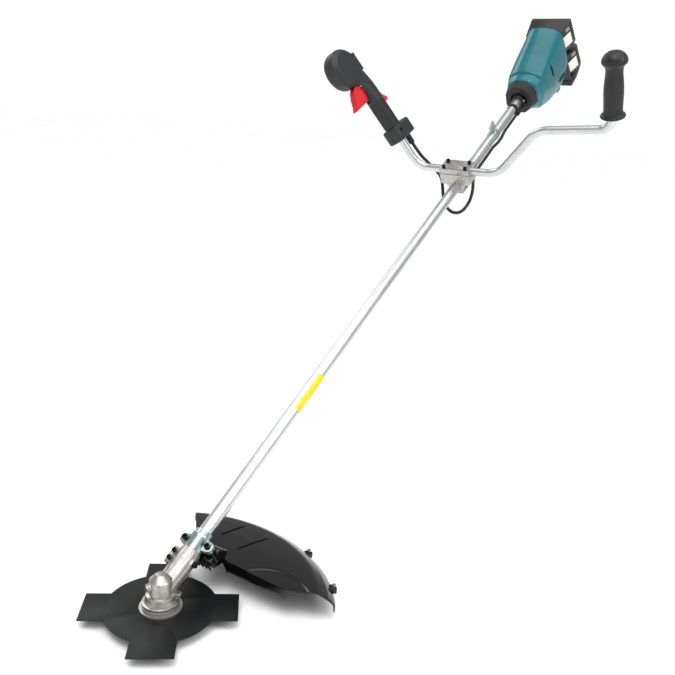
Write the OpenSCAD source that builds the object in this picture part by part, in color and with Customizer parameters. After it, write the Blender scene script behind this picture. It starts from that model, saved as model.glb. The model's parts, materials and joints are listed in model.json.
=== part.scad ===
// Battery brush cutter: rear motor unit, straight pipe, bike handle, gear head,
// four-tooth blade and guard. Millimetres. The blade lies level, +Z is up, +X runs
// from the blade back to the motor, and the origin is the middle of the harness hole.

/* [Pipe] */
// Rise of the pipe above the blade plane, in degrees
pipe_angle = 31.7; // [29:0.1:34]
// Outer diameter of the main pipe
pipe_d = 24; // [20:0.5:29]
// Wall of the main pipe
pipe_wall = 1.5; // [1:0.1:2]
// Place of the handle clamp along the pipe, from the blade axis
handle_at = 1155; // [950:5:1400]
// Distance from the handle clamp to the harness eye
eye_gap = 215; // [180:5:260]
// Distance from the handle clamp to the front of the motor unit
nose_gap = 365; // [340:5:440]
// Diameter of the drive shaft inside the pipe
shaft_d = 7; // [6:0.5:8.4]

/* [Blade] */
// Cutting diameter over the teeth
blade_d = 255; // [212:1:306]
// Diameter of the round middle of the blade
blade_disc_d = 180; // [150:1:200]
// Width of each blade tooth
tooth_w = 70; // [58:1:84]
// Thickness of the blade
blade_t = 2; // [1.6:0.1:2.4]
// Hole in the blade
blade_bore_d = 25.4; // [21:0.1:30]
// Turn of the blade at rest, in degrees
blade_turn = -52.3; // [-90:0.1:90]

/* [Gear head] */
// Diameter of the output spindle inside the case
spindle_d = 12; // [10.5:0.1:13]
// Thread diameter at the lower end of the spindle
thread_d = 10; // [8:0.5:10.4]
// Outer diameter of the upright part of the gear case
case_d = 36; // [34:0.5:43]
// Diameter of the neck that takes the pipe
neck_d = 37; // [32:0.5:44]
// Height of the pipe axis over the blade where it meets the spindle
apex_h = 24.5; // [24:0.5:26]

/* [Guard] */
// Outer radius of the guard
guard_r = 277; // [235:1:330]
// Wall of the guard
guard_wall = 2.6; // [2:0.1:3.2]
// Height of the top of the guard over the blade
guard_h = 43; // [40:0.5:46]

/* [Handle] */
// Outer diameter of the handle bar
bar_d = 18; // [15:0.5:21.6]
// Wall of the handle bar
bar_wall = 1.6; // [1.2:0.1:2]
// Height of the bar axis over the pipe axis
bar_rise = 35; // [34:0.5:42]
// Sideways reach of the bar to the left grip
bar_reach = 357; // [300:1:430]
// Lean of the handle towards the motor, in degrees
bar_lean = 5; // [0:0.5:10]

/* [Grips] */
// Length of the left grip
left_grip_l = 133; // [117:1:168]
// Diameter of the switch grip
grip_d = 40; // [38:0.5:44]
// Radius of the round head of the switch grip
head_r = 46; // [44:0.5:52]

/* [Motor unit] */
// Radius of the motor stator
stator_r = 27; // [22:0.5:32]
// Length of the motor stator
stator_l = 34; // [28:1:41]
// Wall of the motor case
case_wall = 2.5; // [2:0.1:3]

/* [Batteries] */
// Length of a battery pack
pack_l = 112; // [94:1:134]
// Width of a battery pack
pack_w = 80; // [68:1:90]
// Height of a battery pack from its rails to its back
pack_h = 64; // [54:1:76]
// Distance between the two packs
pack_pitch = 100; // [96:1:120]

/* [Hidden] */
$fn = 48;

// Fits
run = 0.05;        // a shaft or a bore that turns
loose = 0.4;       // parts that slide past each other
touch = 0.05;      // a seat that is pushed together

// Stations along the pipe, from the blade axis
eye_at = handle_at + eye_gap;
nose_at = handle_at + nose_gap;
eye_rise = 29;

pipe_r = pipe_d / 2;
bar_r = bar_d / 2;
shaft_r = shaft_d / 2;
spindle_r = spindle_d / 2;
thread_r = thread_d / 2;

// ---------- frames ----------
eye_point = [eye_at * cos(pipe_angle) - eye_rise * sin(pipe_angle), 0,
             apex_h + eye_at * sin(pipe_angle) + eye_rise * cos(pipe_angle)];

// The blade axis frame: Z along the spindle, blade middle at zero height
module rig() translate(-eye_point) children();

// The pipe frame at station s: X along the pipe to the motor, Z the upper side
module along(s) rig() translate([0, 0, apex_h]) rotate([0, -pipe_angle, 0])
  translate([s, 0, 0]) children();

// The handle frame: Z up the handle, X backwards, origin on the bar axis
module handlebar() along(handle_at) translate([0, 0, bar_rise]) rotate([0, bar_lean, 0]) children();

// The switch grip frame: Z up the grip, X backwards, Y outwards
grip_corner_y = 102;
grip_turn = 30;
module grip_frame() handlebar() translate([0, grip_corner_y, 0]) rotate([-grip_turn, 0, 0]) children();

// The battery frame: X backwards out of the pack rails, Z up the stack, origin in the upper pack
pack_tilt = 25;
stack_at = [274, -4, 56];
module stack() along(nose_at) translate(stack_at) rotate([0, -pack_tilt, 0]) children();

// ---------- shared shapes ----------
module ring(r_out, r_in, h) difference() {
  cylinder(r = r_out, h = h);
  translate([0, 0, -1]) cylinder(r = r_in, h = h + 2);
}

// A tube along X from a to b
module rod_x(r, a, b) translate([a, 0, 0]) rotate([0, 90, 0]) cylinder(r = r, h = b - a);
module ring_x(r_out, r_in, a, b) translate([a, 0, 0]) rotate([0, 90, 0]) ring(r_out, r_in, b - a);
module rod_y(r, a, b) translate([0, a, 0]) rotate([-90, 0, 0]) cylinder(r = r, h = b - a);

// A box from one corner to the other
module span(lo, hi) translate(lo) cube(hi - lo);

// A socket head screw that points down, its seat at zero
module cap_screw(r, length, head_r, head_h) {
  translate([0, 0, -length]) cylinder(r = r, h = length);
  difference() {
    cylinder(r = head_r, h = head_h);
    translate([0, 0, head_h * 0.4]) cylinder(r = head_r * 0.5, h = head_h, $fn = 6);
  }
}

// A ball bearing as its two rings and a closed middle, on the Z axis
module bearing(r_out, r_in, h) {
  lip = (r_out - r_in) * 0.3;
  difference() {
    ring(r_out, r_in, h);
    for (z = [-1, h - 0.5]) translate([0, 0, z]) ring(r_out - lip, r_in + lip, 1.5);
  }
}

// ---------- cutter ----------
washer_r = 34;
washer_top = 5.5;
clamp_r = 30;
clamp_t = 4;
cup_r = 22;
cup_h = 10;
nut_af = 17;
thread_end = -(blade_t / 2 + clamp_t + cup_h + 2);

module output_spindle() color("silver") rig() {
  translate([0, 0, thread_end]) cylinder(r = thread_r, h = washer_top - thread_end);
  translate([0, 0, washer_top - 1]) cylinder(r = spindle_r, h = top_seat - washer_top + 1);
  translate([0, 0, top_seat - 1]) cylinder(r = top_pin_r, h = gear_top + top_bearing_h + 0.8 - top_seat + 1);
}

module receive_washer() color("lightgray") rig() difference() {
  union() {
    translate([0, 0, blade_t / 2]) cylinder(r = washer_r, h = 2.5);
    translate([0, 0, blade_t / 2]) cylinder(r = washer_r - 6, h = washer_top - 1.5 - blade_t / 2);
    translate([0, 0, -blade_t / 2 + 0.3]) cylinder(r = blade_bore_d / 2 - run, h = blade_t);
  }
  translate([0, 0, -5]) cylinder(r = thread_r + touch, h = 20);
}

// The corners of the teeth lie on the cutting circle
tooth_span = sqrt(pow(blade_d, 2) - pow(tooth_w, 2));
module blade_outline() {
  circle(d = blade_disc_d, $fn = 96);
  square([tooth_span, tooth_w], center = true);
  square([tooth_w, tooth_span], center = true);
}

module blade() color("#1b1c1e") rig() rotate([0, 0, blade_turn]) difference() {
  translate([0, 0, -blade_t / 2]) linear_extrude(blade_t) blade_outline();
  translate([0, 0, -5]) cylinder(r = blade_bore_d / 2, h = 10);
}

module clamp_washer() color("silver") rig() translate([0, 0, -blade_t / 2 - clamp_t])
  ring(clamp_r, thread_r + touch, clamp_t);

module blade_cup() color("silver") rig() translate([0, 0, -blade_t / 2 - clamp_t - cup_h]) difference() {
  cylinder(r1 = cup_r - 2, r2 = cup_r, h = cup_h);
  translate([0, 0, -1]) cylinder(r = cup_r - 4.5, h = cup_h - 1);
  translate([0, 0, -1]) cylinder(r = thread_r + touch, h = cup_h + 2);
}

module blade_nut() color("gray") rig() translate([0, 0, -blade_t / 2 - clamp_t - cup_h]) difference() {
  cylinder(d = nut_af / cos(30), h = cup_h - 2, $fn = 6);
  translate([0, 0, -1]) cylinder(r = thread_r + touch, h = cup_h + 2);
}

// ---------- bevel gears ----------
// Both cones meet where the shaft axis crosses the spindle axis
gear_teeth = 19;
pinion_teeth = 14;
gear_module = 1;
shaft_meet = 90 - pipe_angle;
pinion_cone = atan2(sin(shaft_meet), gear_teeth / pinion_teeth + cos(shaft_meet));
gear_cone = shaft_meet - pinion_cone;
cone_far = gear_module * pinion_teeth / 2 / sin(pinion_cone);
cone_near = cone_far * 0.6;

// Tooth outline at the wide end: n teeth on a pitch radius r
function tooth_points(n, r, tip, root) = [for (i = [0:n - 1], k = [0:3])
  let (step = 360 / n, a = (i + [-0.25, -0.13, 0.13, 0.25][k]) * step,
       rr = (k == 0 || k == 3) ? r - root : r + tip) [rr * cos(a), rr * sin(a)]];

// A toothed cone on Z with its apex at the origin
module bevel(n, cone, phase) {
  r = gear_module * n / 2;
  far = cone_far * cos(cone);
  near = cone_near * cos(cone);
  translate([0, 0, far]) mirror([0, 0, 1])
    linear_extrude(height = far - near, scale = near / far)
      rotate(phase) polygon(tooth_points(n, r, 0.6 * cos(cone), 1.1 * cos(cone)));
}

gear_hub_h = 3;
gear_top = apex_h + cone_far * cos(gear_cone) + gear_hub_h;
module driven_gear() color("dimgray") rig() difference() {
  translate([0, 0, apex_h]) {
    bevel(gear_teeth, gear_cone, 180 / gear_teeth);
    translate([0, 0, cone_far * cos(gear_cone)]) cylinder(r = 8.2, h = gear_hub_h);
  }
  cylinder(r = top_pin_r + touch, h = 60);
}
module pinion_gear() color("dimgray") along(0) {
  rotate([0, 90, 0]) bevel(pinion_teeth, pinion_cone, 180);
  rod_x(5, cone_far * cos(pinion_cone), pinion_end);
}

// ---------- gear case ----------
top_pin_r = 4.5;
top_seat = apex_h + cone_near * cos(gear_cone) - 2.5;
case_bottom = 7;
case_shoulder = 50;
cap_top = 60;
low_bearing = 8;
low_bearing_h = 10;
bearing_r = 14;
top_bearing_h = 6;
top_bearing_r = 9.5;
pinion_end = 44;
pinion_bearing_r = 13;
pipe_seat = 50;
neck_end = 81;
clamp_from = 62;

module gear_bearings() color("silver") {
  rig() translate([0, 0, low_bearing]) bearing(bearing_r - touch, spindle_r + run, low_bearing_h);
  rig() translate([0, 0, gear_top + 1]) bearing(top_bearing_r - touch, top_pin_r + run, top_bearing_h);
  for (s = [22, 34]) along(s) rotate([0, 90, 0]) bearing(pinion_bearing_r - touch, 5 + run, 8);
}

case_ear_x = 27;
module case_outside() {
  rig() {
    translate([0, 0, case_bottom]) cylinder(r = 29.5, h = 6);
    translate([0, 0, 13]) cylinder(r1 = 26, r2 = 23.5, h = 7);
    translate([0, 0, 20]) cylinder(r = 23.5, h = 6);
    translate([0, 0, 26]) cylinder(d = case_d, h = case_shoulder - 26);
    translate([0, 0, case_shoulder]) cylinder(r1 = case_d / 2, r2 = 8, h = cap_top - case_shoulder);
    rotate([0, 0, lock_ear_turn]) translate([0, 0, 19]) {
      translate([case_ear_x, 0, 0]) cylinder(r = 5.5, h = 8);
      span([10, -5.5, 0], [case_ear_x, 5.5, 8]);
    }
  }
  along(0) {
    rod_x(neck_d / 2, 4, neck_end - 4);
    rod_x(neck_d / 2 - 1, neck_end - 4, neck_end);
    span([46, 8, -6], [76, 27, 10]);
    span([clamp_from - 5, -neck_d / 2 - 3, -2], [clamp_from + 5, -10, 8]);
  }
}
// The lock ear stands beside the neck, so that a pin comes into it straight from above
lock_ear_turn = -54;
lock_hole_r = 2.6;
clamp_screw_y = 21.5;

module gear_case() color("#c9c7c2") difference() {
  case_outside();
  rig() {
    translate([0, 0, case_bottom - 1]) cylinder(r = bearing_r, h = low_bearing + low_bearing_h - case_bottom + 1);
    translate([0, 0, 12]) cylinder(r = bearing_r - 2, h = gear_top - 11);
    translate([0, 0, 30]) cylinder(r = top_bearing_r, h = gear_top + 1 + top_bearing_h - 30);
    translate([0, 0, case_bottom - 2]) cylinder(r = spindle_r + 4, h = 30);
    rotate([0, 0, lock_ear_turn]) translate([case_ear_x, 0, 18]) cylinder(r = lock_hole_r, h = 10);
  }
  along(0) {
    rod_x(pinion_bearing_r, 6, 43);
    rod_x(pipe_r - 2, 40, pipe_seat + 1);
    rod_x(pipe_r + touch, pipe_seat, neck_end + 5);
    span([44, 8, 1.2], [neck_end + 5, 40, 2.8]);
    for (s = [54, 68]) translate([s, clamp_screw_y, -20]) cylinder(r = 2.1, h = 60);
    translate([clamp_from, 0, 3]) rod_y(3.1, -50, -pipe_r);
  }
}

module gear_case_screws() color("#3a3a3c") along(0) {
  for (s = [54, 68]) translate([s, clamp_screw_y, 10 + touch]) cap_screw(2, 15, 3.8, 4);
  translate([clamp_from, 0, 3]) {
    rod_y(3, -neck_d / 2 - 3, -pipe_r - 0.6);
    rod_y(5, -neck_d / 2 - 8, -neck_d / 2 - 3 - touch);
  }
}

// ---------- guard ----------
shell_t = 3.5;
bracket_from = 82;
bracket_to = 118;
ear_s = 97;
ear_y = 24;
ear_r = 9.5;
ear_t = 3;
bolt_r = 2.9;

// One half shell of the bracket with its two ears, on the side that sign gives
module half_bracket(sign) difference() {
  union() {
    ring_x(pipe_r + shell_t, pipe_r + touch, bracket_from, bracket_to);
    ring_x(pipe_r + shell_t + 1.5, pipe_r + touch, bracket_from + 22, bracket_from + 28);
    difference() {
      for (y = [-ear_y, ear_y]) hull_free_ear(y, sign);
      rod_x(pipe_r + touch, bracket_from - 5, bracket_to + 5);
    }
  }
  span([bracket_from - 5, -60, sign > 0 ? -60 : -0.8], [bracket_to + 5, 60, sign > 0 ? 0.8 : 60]);
  for (y = [-ear_y, ear_y]) translate([ear_s, y, -20]) cylinder(r = bolt_r + 0.1, h = 40);
}
module hull_free_ear(y, sign) translate([ear_s, 0, sign > 0 ? 0.8 : -0.8 - ear_t]) {
  translate([0, y, 0]) cylinder(r = ear_r, h = ear_t);
  translate([-ear_r, min(0, y), 0]) cube([2 * ear_r, abs(y), ear_t]);
}

module guard_clamp() color("#b9c6cb") along(0) half_bracket(1);
module guard_bracket() color("#b9c6cb") along(0) half_bracket(-1);
module guard_bolts() color("#2b2b2d") along(0) for (y = [-ear_y, ear_y])
  translate([ear_s, y, 0.8 + ear_t + touch]) cap_screw(bolt_r, 30, 4.8, 5.5);

// The plan of the guard: a rim arc, a straight front edge and a wing
rim_from = -55;
rim_to = 38;
front_x = 112;
wing_root = [118, 34];
crease_r = guard_r - 28;
rim_drop = 30;
rim_lip = 12;

module guard_plan(grow) intersection() {
  circle(r = guard_r + 5, $fn = 96);
  polygon([[front_x - grow, -40], [front_x - grow, -420], [500, -500], [500, 390.6],
           wing_root + [0, grow], [70, 34], [70, -40]]);
}
module guard_bounds() translate([0, 0, -20]) linear_extrude(90) difference() {
  guard_plan(0);
  rotate(rim_from - 90) translate([-400, 0]) mirror([1, 0]) square([1, 1]);
  rotate(rim_from) translate([0, -400]) square([400, 400]);
}

// Height of the guard's top over the blade at the crease and the rim
rim_h = guard_h - rim_drop;
module guard_dome() rotate_extrude($fn = 96) polygon([
  [70, guard_h], [crease_r - 60, guard_h - 2], [crease_r, guard_h - 9], [guard_r, rim_h],
  [guard_r, rim_h - rim_lip], [guard_r - guard_wall, rim_h - rim_lip],
  [guard_r - guard_wall, rim_h - 1], [crease_r, guard_h - 9 - guard_wall],
  [crease_r - 60, guard_h - 2 - guard_wall], [70, guard_h - guard_wall]]);

boss_from = 84;
boss_to = 112;
boss_half = 33;
module guard() color("#161617") difference() {
  union() {
    rig() {
      intersection() {
        guard_dome();
        guard_bounds();
      }
      // straight skirt along the front edge
      intersection() {
        span([front_x, -guard_r, guard_h - 20], [front_x + guard_wall, -40, guard_h - 1]);
        translate([0, 0, -5]) linear_extrude(60) circle(r = guard_r - 6, $fn = 96);
        rotate_extrude($fn = 96) polygon([[70, -5], [70, guard_h - 1], [crease_r - 60, guard_h - 3],
          [crease_r, guard_h - 10], [guard_r, rim_h - 1], [guard_r, -5]]);
      }
      for (a = [-22, -45]) rotate([0, 0, a]) span([guard_r - 8, -7, rim_h - 8], [guard_r + 9, 7, rim_h + 4]);
      for (a = [-1, -17]) rotate([0, 0, a]) span([150, -1.5, guard_h - 5], [crease_r - 30, 1.5, guard_h + 0.6]);
    }
    intersection() {
      along(0) span([boss_from, -boss_half, -62], [boss_to, boss_half, -pipe_r - shell_t - 2]);
      rig() span([60, -60, guard_h - 14], [160, 60, 120]);
    }
    along(0) for (y = [-ear_y, ear_y]) translate([ear_s, y, -34])
      cylinder(r = ear_r - 0.5, h = 34 - 0.8 - ear_t - touch);
    rig() span([front_x - 24, -40, guard_h - 14], [front_x + 30, 36, guard_h - 1]);
  }
  along(0) for (y = [-ear_y, ear_y]) translate([ear_s, y, -40]) cylinder(r = bolt_r + 0.05, h = 60);
  rig() for (a = [-22, -45]) rotate([0, 0, a]) translate([guard_r + 3.5, 0, -20]) cylinder(r = 2.1, h = 60);
}

module guard_screws() color("silver") rig() for (a = [-22, -45]) rotate([0, 0, a])
  translate([guard_r + 3.5, 0, rim_h + 4 + touch]) cap_screw(2, 12, 3.6, 2.6);

// ---------- pipe and shaft ----------
pipe_end = nose_at + 62;
bush_count = 5;
module main_pipe() color("#d9dadb") along(0) ring_x(pipe_r, pipe_r - pipe_wall, pipe_seat + 0.5, pipe_end, $fn = 64);
module drive_shaft() color("gray") along(0) rod_x(shaft_r, pinion_end + 0.05, nose_at + nose_l + shaft_reach);
module shaft_bushes() color("#333333") along(0) for (i = [0:bush_count - 1])
  let (s = 90 + i * (pipe_end - 160) / (bush_count - 1))
    ring_x(pipe_r - pipe_wall - touch, shaft_r + run, s, s + 22);

// ---------- harness eye ----------
band_w = 16;
band_t = 2;
eye_t = 3;
eye_hole_r = 4;
ear_gap = eye_t / 2 + 0.05;
eye_base = pipe_r + 3;
harness_bolt_rise = pipe_r + 7;
module harness_band() color("#c8ccce") along(eye_at) difference() {
  union() {
    ring_x(pipe_r + band_t, pipe_r + touch, -band_w / 2, band_w / 2);
    for (side = [-1, 1]) translate([0, side > 0 ? ear_gap : -ear_gap - 2.5, 0])
      difference() {
        span([-band_w / 2, 0, pipe_r - 2], [band_w / 2, 2.5, pipe_r + 12]);
        rod_x(pipe_r + touch, -20, 20);
      }
  }
  span([-20, -ear_gap, 0], [20, ear_gap, 60]);
  translate([0, 0, harness_bolt_rise]) rod_y(2.6, -20, 20);
}
module harness_eye() color("#d3d6d8") along(eye_at) difference() {
  translate([0, eye_t / 2, 0]) rotate([90, 0, 0]) linear_extrude(eye_t) {
    polygon([[-13, eye_base], [13, eye_base], [11, eye_base + 8], [7, eye_rise + 5],
             [-7, eye_rise + 5], [-11, eye_base + 8]]);
    translate([0, eye_rise + 3]) circle(r = 7.5);
  }
  translate([0, 0, eye_rise]) rod_y(eye_hole_r, -10, 10);
  translate([0, 0, harness_bolt_rise]) rod_y(2.6, -10, 10);
}
module harness_bolt() color("#d3d6d8") along(eye_at) translate([0, 0, harness_bolt_rise]) {
  rod_y(2.5, -9.5, 5);
  rod_y(4.4, ear_gap + 2.5 + touch, 8.6);
  rod_y(4.5, -8, -ear_gap - 2.5 - touch, $fn = 6);
}

// ---------- handle clamp ----------
holder_half_s = 21;
holder_half_y = 36;
bolt_s = 13;
bolt_y = 27;
clamp_top = bar_rise + bar_r + 4;
module clamp_bolt_holes() for (s = [-bolt_s, bolt_s], y = [-bolt_y, bolt_y])
  translate([s, y, -60]) cylinder(r = 2.6, h = 140);

module handle_holder() color("#c3c2be") along(handle_at) difference() {
  union() {
    span([-holder_half_s, -holder_half_y, 8], [holder_half_s, holder_half_y, bar_rise - 0.6]);
    ring_x(pipe_r + 5, pipe_r + touch, -holder_half_s, holder_half_s);
    span([-holder_half_s, -22, -pipe_r - 3], [holder_half_s, 22, 10]);
  }
  rod_x(pipe_r + touch, -40, 40);
  translate([0, 0, bar_rise]) rod_y(bar_r + run, -60, 60);
  span([-30, -30, -40], [30, -pipe_r - 6, 4]);
  span([-30, pipe_r + 6, -40], [30, 30, 4]);
  clamp_bolt_holes();
}
module handle_clamp() color("#cfcfcd") along(handle_at) difference() {
  span([-holder_half_s, -holder_half_y, bar_rise + 0.6], [holder_half_s, holder_half_y, clamp_top]);
  translate([0, 0, bar_rise]) rod_y(bar_r + run, -60, 60);
  clamp_bolt_holes();
}
module handle_bolts() color("#1c1c1d") along(handle_at) for (s = [-bolt_s, bolt_s], y = [-bolt_y, bolt_y])
  translate([s, y, clamp_top + touch]) cap_screw(2.5, clamp_top - 12, 4.2, 5);

// ---------- handle bar ----------
right_bend_r = 50;
right_bend = 90 - grip_turn;
left_bend_r = 60;
left_bend = 50;
left_rise = 5;
top_bend_r = 28;
slope_l = 149;
bar_in_grip = 190;

// The bar, drawn by walking along it: straight runs and bends towards +Y, of radius r.
// A straight run stands a hair over the bends, so that their end faces close.
hair = 0.05;
module straight(len, r) cylinder(r = r + hair, h = len);
module past(len) translate([0, 0, len]) children();
module past_bend(angle, bend_r) translate([0, bend_r, 0]) rotate([-angle, 0, 0])
  translate([0, -bend_r, 0]) children();
module arc_piece(angle, bend_r, r) translate([0, bend_r, 0]) rotate([0, -90, 0]) rotate([0, 0, -90])
  rotate_extrude(angle = angle) translate([bend_r, 0]) circle(r = r);

right_tangent = right_bend_r * tan(right_bend / 2);
left_tangent = left_bend_r * tan(left_bend / 2);
mid_bend = 90 - left_rise - (90 - left_bend);
mid_tangent = left_bend_r * tan(mid_bend / 2);
top_bend = 90 - left_rise;
top_tangent = top_bend_r * tan(top_bend / 2);
slope_end_y = grip_corner_y + slope_l * cos(left_bend);
slope_end_u = slope_l * sin(left_bend);
level_l = (bar_reach - slope_end_y) / cos(left_rise);
left_grip_u = slope_end_u + level_l * sin(left_rise) + top_tangent + 2;
left_in_grip = left_grip_l - 16;

// Both sides run outwards along +Z of their own frame, from the ends of the middle run
module right_side(r, extra) {
  past(grip_corner_y - right_tangent) {
    arc_piece(right_bend, right_bend_r, r);
    past_bend(right_bend, right_bend_r) straight(bar_in_grip - right_tangent + extra, r);
  }
}
module left_side(r, extra) {
  past(grip_corner_y - left_tangent) {
    arc_piece(left_bend, left_bend_r, r);
    past_bend(left_bend, left_bend_r) {
      straight(slope_l - left_tangent - mid_tangent, r);
      past(slope_l - left_tangent - mid_tangent) mirror([0, 1, 0]) {
        arc_piece(mid_bend, left_bend_r, r);
        past_bend(mid_bend, left_bend_r) {
          straight(level_l - mid_tangent - top_tangent, r);
          past(level_l - mid_tangent - top_tangent) mirror([0, 1, 0]) {
            arc_piece(top_bend, top_bend_r, r);
            past_bend(top_bend, top_bend_r) straight(left_in_grip + 2 + extra, r);
          }
        }
      }
    }
  }
}
module bar_solid(r, extra) {
  rod_y(r + hair, -grip_corner_y + left_tangent, grip_corner_y - right_tangent);
  rotate([-90, 0, 0]) mirror([0, 1, 0]) right_side(r, extra);
  mirror([0, 1, 0]) rotate([-90, 0, 0]) mirror([0, 1, 0]) left_side(r, extra);
}
module handle_bar() color("#d4d6d7") handlebar() difference() {
  bar_solid(bar_r - hair, 0);
  bar_solid(bar_r - bar_wall, 1);
}

module left_grip() color("#202123") handlebar() translate([0, -bar_reach, left_grip_u]) difference() {
  rotate_extrude() polygon([[0, 0], [24, 0], [25, 2], [24.5, 5], [18.5, 8], [18, 30], [18.5, 55],
    [17, left_grip_l - 60], [15.5, left_grip_l - 42], [16.5, left_grip_l - 32],
    [21, left_grip_l - 22], [24.2, left_grip_l - 14], [24.2, left_grip_l - 10],
    [20, left_grip_l - 3], [10, left_grip_l], [0, left_grip_l]]);
  translate([0, 0, -1]) cylinder(r = bar_r + touch, h = left_in_grip + 1.5);
}

// ---------- switch grip ----------
collar_from = 77;
collar_to = 113;
grip_to = 196;
shell = 2.6;
head_at = [-34, 287];
head_in = -20;
head_out = 22;
neck_half = 18;

// Side outline of the neck and head, X back and Y up the grip
module head_outline() {
  translate(head_at) circle(r = head_r, $fn = 64);
  polygon([[-20, grip_to - 8], [20, grip_to - 8], [19, 222], [14, 250], [8, 275], [-34, 290],
           [-72, 262], [-66, 248], [-36, 243], [-26, 228], [-21, 210]]);
}
module trigger_outline() polygon([[-30, 240], [-44, 242], [-56, 234], [-66, 221], [-74, 206],
  [-84, 196], [-62, 197], [-32, 198], [-27, 206], [-25, 222], [-24, 234]]);
module lock_outline() polygon([[12, 199], [20.5, 199.5], [30, 187], [39, 176], [36, 171], [14, 171]]);

module side_extrude(lo, hi) translate([0, hi, 0]) rotate([90, 0, 0]) linear_extrude(hi - lo) children();

module grip_outside() {
  translate([0, 0, collar_to - 3]) cylinder(d = grip_d, h = grip_to - collar_to + 3);
  side_extrude(-neck_half, neck_half) polygon([[-20, grip_to - 8], [20, grip_to - 8], [19, 222], [14, 250],
    [-30, 262], [-36, 243], [-26, 228], [-21, 210]]);
  side_extrude(head_in, head_out) head_outline();
  span([-29, -23, collar_from], [49, 23, collar_to]);
}
module grip_inside() {
  side_extrude(head_in + shell, head_out - shell) offset(delta = -shell) head_outline();
  span([24, -7, collar_from + shell], [44, 7, collar_to - shell]);
  span([12, -4, 90], [28, 4, 112]);
  translate([14, 0, 96]) cylinder(r = 3.4, h = 110);
}
module grip_cuts() {
  translate([0, 0, collar_from - 5]) cylinder(r = bar_r + touch, h = bar_in_grip - collar_from + 6);
  side_extrude(-trigger_half - loose, trigger_half + loose) offset(delta = loose) {
    trigger_outline();
    polygon([[-30, 200], [-10, 200], [-12, 230], [-24, 240]]);
  }
  side_extrude(-lock_half - loose, lock_half + loose) polygon([[9.6, 168], [45, 168], [45, 204], [9.6, 204]]);
  translate([panel_x, -panel_half_y - touch, panel_from - touch])
    cube([20, 2 * (panel_half_y + touch), panel_to - panel_from + 2 * touch]);
  translate([trigger_pivot[0], 0, trigger_pivot[1]]) rod_y(pin_r + touch, -pin_half, pin_half);
  translate([lock_pivot[0], 0, lock_pivot[1]]) rod_y(pin_r + touch, -pin_half, pin_half);
  translate([gland_x, 0, collar_from - 3]) cylinder(r = gland_r + touch, h = 9);
  for (p = screw_places) translate([p[0], 0, p[1]]) rod_y(1.6, -14, 40);
  for (p = screw_places) translate([p[0], 0, p[1]]) rod_y(3.4, head_out - 4, 40);
  translate([-6, 0, 99]) rod_y(2.6, -40, -bar_r);
  translate([-6, 0, 99]) rod_y(4, -40, -20);
}
trigger_half = 8;
lock_half = 6;
pin_r = 1.5;
pin_half = 14;
trigger_pivot = [-31, 235];
lock_pivot = [16, 195];
panel_x = 4;
panel_half_y = 13;
panel_from = 262;
panel_to = 306;
gland_x = 29;
gland_r = 8;
screw_places = [[-62, 262], [-62, 312], [-10, 322], [10, 240], [38, 95]];

module switch_half(side) grip_frame() difference() {
  intersection() {
    grip_outside();
    span([-120, side < 0 ? -60 : 0, 0], [80, side < 0 ? 0 : 60, 400]);
  }
  grip_inside_with_posts();
  grip_cuts();
}
module grip_inside_with_posts() difference() {
  grip_inside();
  for (p = screw_places) translate([p[0], 0, p[1]]) rod_y(4.5, -40, 40);
  for (p = [trigger_pivot, lock_pivot]) translate([p[0], 0, p[1]]) {
    rod_y(4, -40, -trigger_half - loose);
    rod_y(4, trigger_half + loose, 40);
  }
  for (y = [-46 - touch, 6 + touch]) span([-7, y, 212], [6, y + 40, 230]);
}
module switch_case_inner() color("#2c2d2f") switch_half(-1);
module switch_case_outer() color("#2c2d2f") switch_half(1);

module switch_screws() color("dimgray") grip_frame() {
  for (p = screw_places) translate([p[0], head_out - 4 + touch, p[1]]) rotate([-90, 0, 0])
    cap_screw(1.5, 24, 3, 2);
  translate([-6, -20 - touch, 99]) rotate([90, 0, 0]) cap_screw(2.5, 20 - bar_r - 0.1, 3.8, 1.8);
}

module trigger() color("#d21f2b") grip_frame() difference() {
  side_extrude(-trigger_half, trigger_half) trigger_outline();
  translate([trigger_pivot[0], 0, trigger_pivot[1]]) rod_y(pin_r + run, -20, 20);
  translate([trigger_pivot[0], 0, trigger_pivot[1]]) rod_y(4.2, -3.5, 3.5);
  side_extrude(-3.5, 3.5) polygon([[-30, 244], [-18, 244], [-18, 226], [-30, 226]]);
}
module trigger_pin() color("silver") grip_frame()
  translate([trigger_pivot[0], 0, trigger_pivot[1]]) rod_y(pin_r, -pin_half + 0.2, pin_half - 0.2);
module trigger_spring() color("gray") grip_frame()
  translate([trigger_pivot[0], 0, trigger_pivot[1]]) for (i = [-2:2])
    translate([0, i * 1.2, 0]) rotate([90, 0, 0]) rotate_extrude() translate([2.8, 0]) circle(r = 0.55, $fn = 16);
module lock_lever() color("#c11f2a") grip_frame() difference() {
  side_extrude(-lock_half, lock_half) lock_outline();
  translate([lock_pivot[0], 0, lock_pivot[1]]) rod_y(pin_r + run, -20, 20);
}
module lock_pin() color("silver") grip_frame()
  translate([lock_pivot[0], 0, lock_pivot[1]]) rod_y(pin_r, -pin_half + 0.2, pin_half - 0.2);
module trigger_switch() color("#222222") grip_frame() {
  span([-9, -6, 209], [8, 6, 233]);
  span([-11, -2, 214], [-9, 2, 220]);
}
module control_panel() color("#3a3b3d") grip_frame() difference() {
  translate([panel_x, -panel_half_y, panel_from])
    cube([head_at[0] + head_r + 2.5 - panel_x, 2 * panel_half_y, panel_to - panel_from]);
  for (z = [button_low, button_high]) translate([panel_x - 1, 0, z]) rotate([0, 90, 0]) cylinder(r = 5.6, h = 30);
}
button_low = 273;
button_high = 295;
button_out = head_at[0] + head_r + 4.5;
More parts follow.
